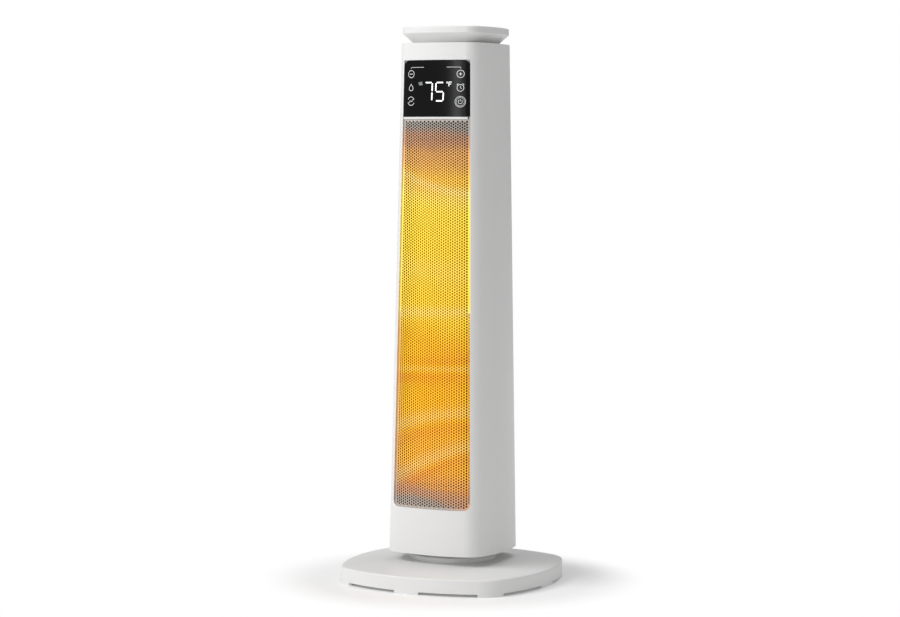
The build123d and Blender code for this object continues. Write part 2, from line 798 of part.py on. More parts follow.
scroll_start = wheel_radius + blower_gap + duct_wall
scroll_middle = from_wheel(scroll_start + scroll_middle_growth, scroll_middle_turn)
scroll_end = from_wheel(scroll_start + scroll_growth, scroll_end_turn)
with BuildPart() as scroll_wall:
    with BuildSketch(Plane.XY.offset(duct_bottom + part_gap)):
        with BuildLine() as scroll_path:
            ThreePointArc(from_wheel(scroll_start, scroll_start_turn), scroll_middle, scroll_end)
            Line(scroll_end, (-heater_half_width, heater_back + duct_wall))
        trace(scroll_path.line, duct_wall)
    extrude(amount=duct_top - duct_bottom - 2 * part_gap)
scroll_wall.part.label = "scroll_wall"
export_step(scroll_wall.part, "parts/scroll_wall.step")

tongue_tip = from_wheel(scroll_start, tongue_tip_turn)
with BuildPart() as tongue_wall:
    with BuildSketch(Plane.XY.offset(duct_bottom + part_gap)):
        with BuildLine() as tongue_path:
            Line((heater_half_width, heater_back + duct_wall), tongue_tip)
            Line(tongue_tip, from_wheel(scroll_start + scroll_growth, tongue_end_turn))
        trace(tongue_path.line, duct_wall)
    extrude(amount=duct_top - duct_bottom - 2 * part_gap)
tongue_wall.part.label = "tongue_wall"
export_step(tongue_wall.part, "parts/tongue_wall.step")


def blade_outline():
    """One forward-curved blade of the wheel, at +X from its axis."""
    outer = (wheel_radius - blade_thickness, 0)
    inner_radius = wheel_radius - blade_depth
    inner = (inner_radius * cos(radians(blade_sweep)), inner_radius * sin(radians(blade_sweep)))
    middle_radius = wheel_radius - blade_depth / 2
    middle = (middle_radius * cos(radians(blade_bow)), middle_radius * sin(radians(blade_bow)))
    with BuildSketch() as blade:
        with BuildLine() as chord:
            ThreePointArc(outer, middle, inner)
        trace(chord.line, blade_thickness)
    return blade.sketch


with BuildPart() as blower_wheel:
    with BuildSketch(Plane.XY.offset(wheel_bottom)):
        with Locations(wheel_centre):
            with PolarLocations(0, blade_count):
                add(blade_outline())
    extrude(amount=wheel_height)
    disc_step = (wheel_height - wheel_disc_thickness) / (wheel_discs - 1)
    for disc in range(wheel_discs):
        level = wheel_bottom + disc * disc_step
        add(cylinder(wheel_centre, level, level + wheel_disc_thickness, wheel_radius, wheel_bore))
blower_wheel.part.label = "blower_wheel"
export_step(blower_wheel.part, "parts/blower_wheel.step")

motor_top = motor_bottom + motor_height
with BuildPart() as wheel_shaft:
    add(cylinder(wheel_centre, motor_bottom + motor_height / 2, duct_top + duct_wall, wheel_bore))
wheel_shaft.part.label = "wheel_shaft"
export_step(wheel_shaft.part, "parts/wheel_shaft.step")

plate_face = duct_top + duct_wall
flange_radius = bearing_radius + 2 * bearing_flange
shaft_hole = wheel_bore + running_gap
with BuildPart() as upper_bearing:
    add(cylinder(wheel_centre, duct_top - part_gap, plate_face, bearing_radius, shaft_hole))
    add(cylinder(wheel_centre, plate_face, plate_face + bearing_flange, flange_radius, shaft_hole))
upper_bearing.part.label = "upper_bearing"
export_step(upper_bearing.part, "parts/upper_bearing.step")

with BuildPart() as fan_motor:
    add(cylinder(wheel_centre, motor_bottom, motor_top, motor_radius, shaft_hole))
    chamfer(fan_motor.edges().group_by(Axis.Z)[0], motor_chamfer)
fan_motor.part.label = "fan_motor"
export_step(fan_motor.part, "parts/fan_motor.step")

# Heating element: ceramic bars with folded fins between them, in an open frame
inner_half = heater_half_width - heater_frame_wall
column_count = ceramic_bar_count + 1
column_width = (2 * inner_half - ceramic_bar_count * ceramic_bar_width) / column_count
column_pitch = column_width + ceramic_bar_width
core_bottom = heater_bottom + heater_frame_end
core_height = heater_top - heater_bottom - 2 * heater_frame_end
core_middle = (heater_bottom + heater_top) / 2
with BuildPart() as heater_frame:
    with BuildSketch(Plane.XZ.offset(-heater_back)):
        with Locations((0, core_middle)):
            Rectangle(2 * heater_half_width, heater_top - heater_bottom)
            Rectangle(2 * inner_half, core_height, mode=Mode.SUBTRACT)
    extrude(amount=heater_depth)
heater_frame.part.label = "heater_frame"
export_step(heater_frame.part, "parts/heater_frame.step")

with BuildPart() as ceramic_bars:
    with BuildSketch(Plane.XZ.offset(-heater_back)):
        with Locations((0, core_middle)):
            with GridLocations(column_pitch, 0, ceramic_bar_count, 1):
                Rectangle(ceramic_bar_width, core_height)
    extrude(amount=heater_depth)
ceramic_bars.part.label = "ceramic_bars"
export_step(ceramic_bars.part, "parts/ceramic_bars.step")


def folded_fin(middle):
    """A strip folded to and fro across one column."""
    folds = int(core_height / fin_pitch * 2) - 1
    step = fin_pitch / 2
    start = core_middle - folds * step / 2
    side = (column_width - fin_thickness) / 2 - running_gap
    folded = [(middle + side * (-1) ** fold, start + fold * step) for fold in range(folds + 1)]
    rising = [(x - fin_thickness / 2, z) for x, z in folded]
    falling = [(x + fin_thickness / 2, z) for x, z in reversed(folded)]
    with BuildSketch() as strip:
        with BuildLine():
            Polyline(*rising, *falling, close=True)
        make_face()
    return strip.sketch


with BuildPart() as heater_fins:
    with BuildSketch(Plane.XZ.offset(-heater_back + fin_setback)):
        for column in range(column_count):
            add(folded_fin((column - (column_count - 1) / 2) * column_pitch))
    extrude(amount=heater_depth - 2 * fin_setback)
heater_fins.part.label = "heater_fins"
export_step(heater_fins.part, "parts/heater_fins.step")

with BuildPart() as heater_terminals:
    with BuildSketch(Plane.XY.offset(core_bottom)):
        with Locations((0, heater_back + terminal_thickness / 2)):
            with GridLocations(column_pitch, 0, ceramic_bar_count, 1):
                Rectangle(terminal_width, terminal_thickness)
    extrude(amount=terminal_length)
heater_terminals.part.label = "heater_terminals"
export_step(heater_terminals.part, "parts/heater_terminals.step")

with BuildPart() as thermal_cutoff:
    with BuildSketch(Plane.XZ.offset(-heater_back)):
        with Locations((0, heater_top - cutoff_radius - part_gap)):
            Circle(cutoff_radius)
    extrude(amount=-cutoff_height)
thermal_cutoff.part.label = "thermal_cutoff"
export_step(thermal_cutoff.part, "parts/thermal_cutoff.step")

# Electronics: a tray across the tower carries the control board in front and the power board behind
tray_bottom = duct_top + duct_wall + part_gap
panel_back = front_depth(display_width / 2, window_top, front_recess + panel_thickness)
board_face = display_depth + part_gap - panel_back
tray_face = board_face + board_thickness + standoff_height
with BuildPart() as electronics_tray:
    add(tower_block(tray_bottom, deck_bottom - part_gap, inner_inset))
    with BuildSketch(Plane.XY.offset(tray_bottom)):
        with Locations((0, tray_face)):
            Rectangle(2 * body_bottom_half_width, tray_thickness, align=(Align.CENTER, Align.MIN))
    extrude(amount=deck_bottom - tray_bottom, mode=Mode.INTERSECT)
electronics_tray.part.label = "electronics_tray"
export_step(electronics_tray.part, "parts/electronics_tray.step")

board_middle = board_bottom + board_height / 2
with BuildPart() as control_board:
    with BuildSketch(Plane.XZ.offset(-board_face)):
        with Locations((0, board_middle)):
            Rectangle(2 * board_half_width, board_height)
    extrude(amount=-board_thickness)
control_board.part.label = "control_board"
export_step(control_board.part, "parts/control_board.step")

with BuildPart() as display_module:
    with BuildSketch(Plane.XZ.offset(-board_face)):
        with Locations((0, board_middle)):
            Rectangle(display_width, display_height)
    extrude(amount=display_depth)
display_module.part.label = "display_module"
export_step(display_module.part, "parts/display_module.step")

with BuildPart() as touch_pads:
    for height in touch_pad_rows:
        pad_face = front_depth(touch_pad_column + touch_pad_radius, height, front_recess + panel_thickness)
        with BuildSketch(Plane.XZ.offset(-board_face)):
            with Locations((0, height)):
                with GridLocations(2 * touch_pad_column, 0, 2, 1):
                    Circle(touch_pad_radius / 2)
        extrude(amount=pad_face + board_face - part_gap)
touch_pads.part.label = "touch_pads"
export_step(touch_pads.part, "parts/touch_pads.step")

tray_back = tray_face + tray_thickness
power_board_face = tray_back + standoff_height
power_board_middle = (tray_bottom + deck_bottom) / 2
with BuildPart() as board_standoffs:
    with BuildSketch(Plane.XZ.offset(-tray_face)):
        with Locations((0, board_middle)):
            with GridLocations(
                2 * (board_half_width - standoff_inset),
                board_height - 2 * standoff_inset,
                2,
                2,
            ):
                Circle(standoff_radius)
    extrude(amount=standoff_height)
    with BuildSketch(Plane.XZ.offset(-power_board_face)):
        with Locations((0, power_board_middle)):
            with GridLocations(
                2 * (power_board_half_width - standoff_inset),
                power_board_height - 2 * standoff_inset,
                2,
                2,
            ):
                Circle(standoff_radius)
    extrude(amount=standoff_height)
board_standoffs.part.label = "board_standoffs"
export_step(board_standoffs.part, "parts/board_standoffs.step")

power_board_back = power_board_face + board_thickness
with BuildPart() as power_board:
    with BuildSketch(Plane.XZ.offset(-power_board_face)):
        with Locations((0, power_board_middle)):
            Rectangle(2 * power_board_half_width, power_board_height)
    extrude(amount=-board_thickness)
power_board.part.label = "power_board"
export_step(power_board.part, "parts/power_board.step")

with BuildPart() as relays:
    with BuildSketch(Plane.XZ.offset(-power_board_back)):
        with Locations((0, power_board_middle + power_board_height / 4)):
            with GridLocations(relay_width + relay_gap, 0, 2, 1):
                Rectangle(relay_width, relay_height)
    extrude(amount=-relay_depth)
relays.part.label = "relays"
export_step(relays.part, "parts/relays.step")

with BuildPart() as transformer:
    with BuildSketch(Plane.XZ.offset(-power_board_back)):
        with Locations((-transformer_width / 2, power_board_middle - power_board_height / 5)):
            Rectangle(transformer_width, transformer_height)
    extrude(amount=-transformer_depth)
transformer.part.label = "transformer"
export_step(transformer.part, "parts/transformer.step")

with BuildPart() as filter_capacitors:
    with BuildSketch(Plane.XZ.offset(-power_board_back)):
        with Locations((2 * capacitor_radius, power_board_middle - power_board_height / 5)):
            with GridLocations(0, 2 * capacitor_radius + capacitor_gap, 1, 2):
                Circle(capacitor_radius)
    extrude(amount=-capacitor_length)
filter_capacitors.part.label = "filter_capacitors"
export_step(filter_capacitors.part, "parts/filter_capacitors.step")

# Mains switch in the rear cover: a housing with a rocker that tilts on its pin
housing_half_width = rocker_half_width + rocker_housing_wall
housing_half_height = rocker_half_height + rocker_housing_wall
bezel_back = tower_half_width(rocker_place - housing_half_height - rocker_bezel_width) + running_gap
bezel_face = bezel_back + rocker_bezel_thickness
pocket_floor = bezel_back - rocker_housing_depth + 2 * rocker_housing_wall
pivot_depth = bezel_face - rocker_key_dip
with BuildPart() as rocker_housing:
    with BuildSketch(Plane.XZ.offset(-bezel_back)):
        with Locations((0, rocker_place)):
            Rectangle(
                2 * (housing_half_width + rocker_bezel_width),
                2 * (housing_half_height + rocker_bezel_width),
            )
    extrude(amount=-rocker_bezel_thickness)
    with BuildSketch(Plane.XZ.offset(-bezel_back)):
        with Locations((0, rocker_place)):
            Rectangle(2 * housing_half_width, 2 * housing_half_height)
    extrude(amount=rocker_housing_depth)
    with BuildSketch(Plane.XZ.offset(-pocket_floor)):
        with Locations((0, rocker_place)):
            Rectangle(2 * rocker_half_width, 2 * rocker_half_height)
    extrude(amount=pocket_floor - bezel_face, mode=Mode.SUBTRACT)
    with BuildSketch(Plane.YZ.offset(-housing_half_width)):
        with Locations((pivot_depth, rocker_place)):
            Circle(rocker_pin_radius + running_gap)
    extrude(amount=2 * housing_half_width, mode=Mode.SUBTRACT)
rocker_housing.part.label = "rocker_housing"
export_step(rocker_housing.part, "parts/rocker_housing.step")

key_outline = [
    (-rocker_key_depth, -rocker_key_half_height / 2),
    (rocker_key_proud / 2, -rocker_key_half_height),
    (rocker_key_proud, -rocker_key_half_height),
    (rocker_key_proud - rocker_key_dip, 0),
    (rocker_key_proud, rocker_key_half_height),
    (rocker_key_proud / 2, rocker_key_half_height),
    (-rocker_key_depth, rocker_key_half_height / 2),
]
with BuildPart() as mains_rocker:
    with BuildSketch(Plane.YZ.offset(-rocker_half_width + part_gap)):
        with Locations(Location((pivot_depth, rocker_place), rocker_tilt)):
            with BuildLine(mode=Mode.PRIVATE) as key_path:
                Polyline(*key_outline, close=True)
            add(make_face(key_path.line, mode=Mode.PRIVATE))
    extrude(amount=2 * (rocker_half_width - part_gap))
    pin_half_length = rocker_half_width + rocker_housing_wall - part_gap
    with BuildSketch(Plane.YZ.offset(-pin_half_length)):
        with Locations((pivot_depth, rocker_place)):
            Circle(rocker_pin_radius)
    extrude(amount=2 * pin_half_length)
mains_rocker.part.label = "mains_rocker"
export_step(mains_rocker.part, "parts/mains_rocker.step")

# Cord gland at the foot of the rear cover, with its nut inside
gland_face = tower_half_width(gland_place - gland_flange_radius) + running_gap
gland_inner = tower_half_width(gland_place) - body_wall - part_gap
with BuildPart() as cord_gland:
    with BuildSketch(Plane.XZ.offset(-gland_face)):
        with Locations((0, gland_place)):
            Circle(gland_flange_radius)
    extrude(amount=-gland_flange_thickness)
    with BuildSketch(Plane.XZ.offset(-gland_face)):
        with Locations((0, gland_place)):
            Circle(gland_radius)
    extrude(amount=gland_length)
    with BuildSketch(Plane.XZ.offset(-gland_face - gland_radius)):
        with Locations((0, gland_place)):
            Circle(gland_bore)
    extrude(amount=gland_length + 2 * gland_radius, mode=Mode.SUBTRACT)
cord_gland.part.label = "cord_gland"
export_step(cord_gland.part, "parts/cord_gland.step")

with BuildPart() as gland_nut:
    with BuildSketch(Plane.XZ.offset(-gland_inner)):
        with Locations((0, gland_place)):
            RegularPolygon(gland_flange_radius, 6)
            Circle(gland_radius + running_gap, mode=Mode.SUBTRACT)
    extrude(amount=gland_nut_thickness)
gland_nut.part.label = "gland_nut"
export_step(gland_nut.part, "parts/gland_nut.step")
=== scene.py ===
# %% [markdown]
# # A tower fan heater, dressed in Blender
# The CAD frame holds every part at its real size and place. This notebook adds what the eye wants: a
# camera that stands where the photographer stood, soft light, and a finish for every surface. It also
# models the two things that the CAD keeps coarse, the fine perforated front and the lit marks on the
# touch panel.

# %% Load the frame
import bmesh
import bpy
import math
from mathutils import Matrix, Vector


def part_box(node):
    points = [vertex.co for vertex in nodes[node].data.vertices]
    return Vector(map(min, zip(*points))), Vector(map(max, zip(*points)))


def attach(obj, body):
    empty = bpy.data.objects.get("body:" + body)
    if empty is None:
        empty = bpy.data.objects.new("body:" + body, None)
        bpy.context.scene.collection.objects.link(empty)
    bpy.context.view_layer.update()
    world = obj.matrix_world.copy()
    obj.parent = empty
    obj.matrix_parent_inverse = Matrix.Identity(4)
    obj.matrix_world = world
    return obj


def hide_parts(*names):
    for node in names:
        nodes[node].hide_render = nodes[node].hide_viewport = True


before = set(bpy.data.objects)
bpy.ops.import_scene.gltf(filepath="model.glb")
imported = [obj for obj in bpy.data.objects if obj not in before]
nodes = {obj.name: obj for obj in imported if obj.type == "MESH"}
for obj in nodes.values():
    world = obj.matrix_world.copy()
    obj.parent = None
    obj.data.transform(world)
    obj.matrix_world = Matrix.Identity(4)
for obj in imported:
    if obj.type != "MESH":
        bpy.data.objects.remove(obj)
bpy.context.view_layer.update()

# %% [markdown]
# ## The camera
# A product shot is taken from far away with a long lens, so upright lines stay nearly parallel. The
# camera could be turned by hand until the picture fits, but here it is set by measured angles: it stands
# 2.7 m away, 26 degrees round to the heater's left side as it faces us, a little above its middle, and
# looks slightly down. The picture is 900 x 617, and a focal length given in pixels turns into millimetres
# of lens through the sensor's width.

# %% Place the camera
picture_width_px = 900
focal_px = 2466.4
sensor_mm = 36.0
distance_m = 2.7274
camera_height_m = 0.47475
yaw = math.radians(26.0)
pan = math.radians(0.105)
pitch = math.radians(3.645)
roll = math.radians(0.346)

level_ahead = Vector((-math.sin(yaw + pan), math.cos(yaw + pan), 0))
ahead = level_ahead * math.cos(pitch) - Vector((0, 0, math.sin(pitch)))
level_right = ahead.cross(Vector((0, 0, 1))).normalized()
level_up = level_right.cross(ahead)
right = level_right * math.cos(roll) + level_up * math.sin(roll)
up = level_up * math.cos(roll) - level_right * math.sin(roll)

camera_data = bpy.data.cameras.new("camera")
camera_data.sensor_fit = "HORIZONTAL"
camera_data.sensor_width = sensor_mm
camera_data.lens = focal_px / picture_width_px * sensor_mm
camera = bpy.data.objects.new("camera", camera_data)
bpy.context.collection.objects.link(camera)
turn = Matrix((right, up, -ahead)).transposed().to_4x4()
stand_at = Vector((distance_m * math.sin(yaw), -distance_m * math.cos(yaw), camera_height_m))
camera.matrix_world = Matrix.Translation(stand_at) @ turn
bpy.context.scene.camera = camera
print("lens:", round(camera_data.lens, 2), "mm")

# %% [markdown]
# ## The tower's shape
# The body is a rounded square with bowed sides that tapers upwards. Marks and the perforated sheet have
# to lie on that bowed front. They could be shrinkwrapped onto the CAD mesh, but its facets would show in
# them, so a few lines of geometry give the true place of the surface at any height. The sizes come from
# the frame's own boxes, so they follow the CAD.

# %% Measure the tower
mm = 0.001
body_low, body_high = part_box("front_housing")
body_bottom = body_low[2]
body_top = body_high[2]
bottom_half = body_high[0]
panel_low, panel_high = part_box("control_panel")
grille_low, grille_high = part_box("front_grille")
deck_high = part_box("top_deck")[1]
wall = 3.5 * mm
top_half = deck_high[0] + wall
bow = 2.5
corner_share = 0.36
window_corner = 7.5 * mm


def half_width(height):
    """Half the body's width at a height."""
    share = (height - body_bottom) / (body_top - body_bottom)
    return bottom_half + share * (top_half - bottom_half)


def front_y(across, height, inset=0.0):
    """The bowed front's place in depth; inset steps back behind the surface."""
    half = half_width(height)
    side_radius = bow * half
    corner_radius = corner_share * half
    side_centre = half - side_radius
    reach = side_radius - corner_radius
    corner_centre = (side_centre + math.sqrt(2 * reach**2 - side_centre**2)) / 2
    limit = side_radius * corner_centre / reach
    if abs(across) <= limit:
        return -(side_centre + math.sqrt((side_radius - inset) ** 2 - across**2))
    return -(corner_centre + math.sqrt((corner_radius - inset) ** 2 - (abs(across) - corner_centre) ** 2))


def window_half(height):
    """Half the width of what fills the front window, from the panel's box and the grille's."""
    low = grille_low[2] + window_corner
    share = (height - low) / (panel_low[2] - low)
    return grille_high[0] + share * (panel_high[0] - grille_high[0])


print("half widths:", round(bottom_half, 4), round(top_half, 4))

# %% [markdown]
# ## Materials
# Each finish is one small function. Moulded plastic is never perfectly smooth: the tool leaves a fine
# spark-eroded grain, and the skin varies a little in gloss. An image texture could show that, but it
# needs a file of its own and blurs close up. Noise textures in object space give both at any distance,
# and they need no unwrapping.

# %% A material, its noise and its bump
def new_material(name, colour, roughness, metallic=0.0):
    """A material with a Principled shader, its node tree and the shader itself."""
    material = bpy.data.materials.new(name)
    material.use_nodes = True
    tree = material.node_tree
    shader = tree.nodes["Principled BSDF"]
    shader.inputs["Base Color"].default_value = (*colour, 1)
    shader.inputs["Roughness"].default_value = roughness
    shader.inputs["Metallic"].default_value = metallic
    return material, tree, shader


def noise(tree, scale, detail=4.0, stretch=(1, 1, 1)):
    """A noise texture in object space, stretched along an axis where asked."""
    place = tree.nodes.new("ShaderNodeTexCoord")
    mapping = tree.nodes.new("ShaderNodeMapping")
    mapping.inputs["Scale"].default_value = stretch
    texture = tree.nodes.new("ShaderNodeTexNoise")
    texture.inputs["Scale"].default_value = scale
    texture.inputs["Detail"].default_value = detail
    tree.links.new(place.outputs["Object"], mapping.inputs["Vector"])
    tree.links.new(mapping.outputs["Vector"], texture.inputs["Vector"])
    return texture


def add_bump(tree, shader, source, strength, depth):
    """Bump from a texture's value; depth is in metres."""
    bump = tree.nodes.new("ShaderNodeBump")
    bump.inputs["Strength"].default_value = strength
    bump.inputs["Distance"].default_value = depth
    tree.links.new(source, bump.inputs["Height"])
    tree.links.new(bump.outputs["Normal"], shader.inputs["Normal"])


print("a material, its noise and its bump: ready")

# %% [markdown]
# ## Uneven gloss and shade
# No real surface has one gloss all over. A texture can drive a shader's socket, but noise mostly stays
# near its middle value, so that middle is stretched over the wanted range. The drift can then be seen
# without drawing the eye. Colour could be driven by a ramp as well, but two near colours need only a mix.

# %% Let a texture drive gloss and shade
noise_low = 0.3
noise_high = 0.7


def vary(tree, source, socket, low, high):
    """Drives a socket between two values from a texture."""
    spread = tree.nodes.new("ShaderNodeMapRange")
    spread.inputs["From Min"].default_value = noise_low
    spread.inputs["From Max"].default_value = noise_high
    spread.inputs["To Min"].default_value = low
    spread.inputs["To Max"].default_value = high
    tree.links.new(source, spread.inputs["Value"])
    tree.links.new(spread.outputs["Result"], socket)


def vary_colour(tree, source, socket, dark, light):
    """Drives a colour socket between two colours from a texture."""
    mix = tree.nodes.new("ShaderNodeMix")
    mix.data_type = "RGBA"
    mix.inputs["A"].default_value = (*dark, 1)
    mix.inputs["B"].default_value = (*light, 1)
    tree.links.new(source, mix.inputs["Factor"])
    tree.links.new(mix.outputs["Result"], socket)


print("noise from", noise_low, "to", noise_high, "spans a whole range")

# %% [markdown]
# ## Two families of finish
# Nearly all of the heater is either moulded plastic or bare metal. Each family gets one function, and its
# pieces differ only in colour, gloss and the size of the grain. Grain could be modelled as displacement,
# but at a few hundredths of a millimetre it is far too fine for geometry, so it is bump.

# %% Moulded plastic and bare metal
drift_scale = 9.0
gloss_drift = 0.05
darkest_share = 0.975
grain_strength = 0.25
drawn_smoother = 0.08
drawn_rougher = 0.1
drawn_strength = 0.15
drawn_depth = 0.03 * mm


def moulded(name, colour, roughness, grain_scale=2600.0, grain_depth=0.04 * mm):
    """Injection-moulded plastic: fine grain, and a faint drift in gloss and shade."""
    material, tree, shader = new_material(name, colour, roughness)
    drift = noise(tree, drift_scale, 3.0)
    gloss = shader.inputs["Roughness"]
    vary(tree, drift.outputs["Fac"], gloss, roughness - gloss_drift, roughness + gloss_drift)
    dark = [channel * darkest_share for channel in colour]
    vary_colour(tree, drift.outputs["Fac"], shader.inputs["Base Color"], dark, colour)
    grain = noise(tree, grain_scale, 2.0)
    add_bump(tree, shader, grain.outputs["Fac"], grain_strength, grain_depth)
    return material


def metal(name, colour, roughness, scale=400.0, stretch=(1, 1, 1)):
    """Bare or plated metal with fine drawn marks."""
    material, tree, shader = new_material(name, colour, roughness, metallic=1.0)
    marks = noise(tree, scale, 3.0, stretch)
    gloss = shader.inputs["Roughness"]
    vary(tree, marks.outputs["Fac"], gloss, roughness - drawn_smoother, roughness + drawn_rougher)
    add_bump(tree, shader, marks.outputs["Fac"], drawn_strength, drawn_depth)
    return material


dressed_nodes = set()


def dress(material, *names):
    """Gives CAD nodes a material in every slot."""
    dressed_nodes.update(names)
    for name in names:
        obj = nodes[name]
        if not obj.data.materials:
            obj.data.materials.append(material)
        for slot in obj.material_slots:
            slot.material = material


print("two families of finish: ready")

# %% [markdown]
# ## The white shells
# The body, cap, deck and stand are one white satin plastic. It could be written as pure white, but then
# every lit face would clip and the rounded edges would vanish. Paint-white plastic under soft light reads
# as a light warm grey, which leaves room above it for highlights. The stand's underside is duller, as a
# hidden face is left straight from the tool.

# %% Dress the white shells
shell_white = moulded("shell_white", (0.80, 0.80, 0.795), 0.42)
dress(shell_white, "front_housing", "rear_cover", "top_deck", "top_cap", "base_cover", "tower_bottom_plate")
underside_white = moulded("underside_white", (0.70, 0.70, 0.69), 0.55, grain_scale=1500.0)
dress(underside_white, "base_bottom_plate")
print("white shells dressed")

# %% [markdown]
# ## Inner plastics, metals and boards
# Little of the inside shows, but the slots at the back and the gaps let some of it through, and the part
# is used from all sides. One grey for everything would do for the photograph's side only. Each kind of
# piece gets the finish of the real one instead, which costs one line each with the two functions above.

# %% Name the inner finishes
inner_grey = moulded("inner_grey", (0.30, 0.31, 0.32), 0.55)
wheel_black = moulded("wheel_black", (0.035, 0.035, 0.038), 0.45)
switch_black = moulded("switch_black", (0.02, 0.02, 0.022), 0.33)
natural_nylon = moulded("natural_nylon", (0.72, 0.70, 0.62), 0.4)
foot_rubber = moulded("foot_rubber", (0.03, 0.03, 0.03), 0.8, grain_scale=900.0, grain_depth=0.1 * mm)
board_green = moulded("board_green", (0.02, 0.12, 0.06), 0.35, grain_scale=700.0)
heater_ceramic = moulded("heater_ceramic", (0.55, 0.48, 0.40), 0.7, grain_scale=1200.0, grain_depth=0.1 * mm)
zinc_plate = metal("zinc_plate", (0.62, 0.62, 0.60), 0.38)
turned_steel = metal("turned_steel", (0.55, 0.55, 0.56), 0.28, 900.0, (1, 1, 12))
rolled_aluminium = metal("rolled_aluminium", (0.80, 0.80, 0.81), 0.34, 600.0, (1, 8, 1))
print("materials so far:", len(bpy.data.materials))

# %% Dress the inner pieces
dress(inner_grey, "swivel_post", "tip_switch_housing", "scroll_wall", "tongue_wall", "electronics_tray")
dress(wheel_black, "blower_wheel", "heater_frame", "duct_bottom_plate", "duct_top_plate")
dress(switch_black, "rocker_housing", "mains_rocker", "cord_gland", "gland_nut", "tip_micro_switch",
      "relays", "transformer", "filter_capacitors", "display_module")
dress(natural_nylon, "thrust_washer", "sun_gear", "drive_pinion", "tip_plunger", "touch_pads",
      "board_standoffs")
dress(foot_rubber, "rubber_feet", "upper_bearing")
dress(board_green, "control_board", "power_board")
dress(zinc_plate, "base_weight", "base_screws", "post_screws", "retaining_washer", "post_circlip",
      "cap_screws", "swivel_motor_bracket", "swivel_motor", "fan_motor", "heater_terminals",
      "thermal_cutoff")
dress(turned_steel, "wheel_shaft", "pinion_shaft")
dress(rolled_aluminium, "heater_fins")
dress(heater_ceramic, "ceramic_bars")
print("CAD nodes dressed so far:", len(dressed_nodes), "of", len(nodes))

# %% [markdown]
# ## The glow behind the front
# A running heater is shown with a warm light rising through its perforated front: silver at the ends,
# then rose, orange and bright yellow in the middle, with soft swirls of light across it. Lamps behind
# the holes could give the light, but not the drawn bands, and they would render slowly and with grain.
# Instead one field of colour is painted by place on the object, so it stays put from every side. It is
# used twice, on the sheet that it washes over and on the screen behind the holes, so that they agree.
# First come its colours from bottom to top.

# %% The glow's colours
window_low = grille_low[2]
window_high = grille_high[2]

# each stop is a height in metres with its colour and how strong the glow is there
glow_stops = [
    (0.084, (0.56, 0.36, 0.22), 0.30),
    (0.096, (0.72, 0.32, 0.12), 0.66),
    (0.112, (0.86, 0.38, 0.06), 0.92),
    (0.134, (0.96, 0.46, 0.02), 0.96),
    (0.205, (0.98, 0.50, 0.004), 1.00),
    (0.262, (0.98, 0.52, 0.008), 1.00),
    (0.300, (1.00, 0.66, 0.03), 1.00),
    (0.360, (1.00, 0.70, 0.04), 1.00),
    (0.412, (1.00, 0.74, 0.06), 1.00),
    (0.440, (0.98, 0.60, 0.06), 0.96),
    (0.466, (0.88, 0.44, 0.08), 0.82),
    (0.486, (0.66, 0.28, 0.09), 0.66),
    (0.504, (0.46, 0.32, 0.22), 0.20),
]
print("glow stops:", len(glow_stops), "over", round(window_high - window_low, 3), "m")

# %% [markdown]
# ## Painted bands of light
# The swirls are soft bands of painted light, some paler and some deeper than what lies around them. They
# could be painted as a picture, but a formula keeps them sharp and in the file: a line across the front
# with a slope and a sag, and a bell curve of the distance from it. Math nodes are the way to write a
# formula in a material.

# %% A band as a formula
def math_node(tree, operation, first, second=None, third=None):
    """A math node fed by sockets or plain numbers."""
    node = tree.nodes.new("ShaderNodeMath")
    node.operation = operation
    for index, value in enumerate((first, second, third)):
        if value is None:
            continue
        if isinstance(value, (int, float)):
            node.inputs[index].default_value = value
        else:
            tree.links.new(value, node.inputs[index])
    return node.outputs[0]


def light_band(tree, x, z, height, slope, sag, thickness):
    """A soft band of painted light across the front: slope tilts it, sag curves it, thickness is in metres.
    """
    line = math_node(tree, "MULTIPLY_ADD", x, slope, height)
    curve = math_node(tree, "MULTIPLY", math_node(tree, "MULTIPLY", x, x), sag)
    away = math_node(tree, "SUBTRACT", math_node(tree, "SUBTRACT", z, line), curve)
    scaled = math_node(tree, "DIVIDE", away, thickness)
    squared = math_node(tree, "MULTIPLY", scaled, scaled)
    return math_node(tree, "POWER", math.e, math_node(tree, "MULTIPLY", squared, -1.0))


# each band: height on the middle line, slope, sag, thickness, and how much paler it is, or deeper below 0
light_bands = [
    (0.436, -0.28, 2.6, 0.0050, 0.75),
    (0.424, -0.20, 2.6, 0.0100, 0.35),
    (0.300, 0.02, 0.0, 0.0060, 0.55),
    (0.345, -0.10, 1.0, 0.0140, 0.25),
    (0.238, 0.03, 0.0, 0.0045, 0.60),
    (0.228, 0.04, 0.0, 0.0080, -0.16),
    (0.240, 0.12, 0.0, 0.0120, -0.30),
    (0.186, 0.20, -1.5, 0.0075, 0.45),
    (0.170, 0.24, -1.5, 0.0080, -0.22),
    (0.140, 0.42, -2.0, 0.0080, 0.50),
    (0.126, 0.50, -2.0, 0.0060, -0.25),
]
print("bands:", len(light_bands))

# %% [markdown]
# ## One field from stops and bands
# The stops become two ramps over the height, one for colour and one for strength. The painted light
# follows rising air, which doesn't lie level, so a little noise and a lean to one side shift the height
# before it is looked up. The bands then pull the colour towards a pale or a deep orange. The same could be
# done with many mixed gradients, but two ramps and a sum of bands are easier to tune.

# %% The field of colour
swirl_scale = 7.0
swirl_stretch = (1.4, 0.2, 2.2)
swirl_height = 0.035
glow_lean = 0.16
pale_orange = (1.0, 0.80, 0.30)
deep_orange = (0.86, 0.24, 0.01)
pale_gain = 0.6
deep_gain = -1.2


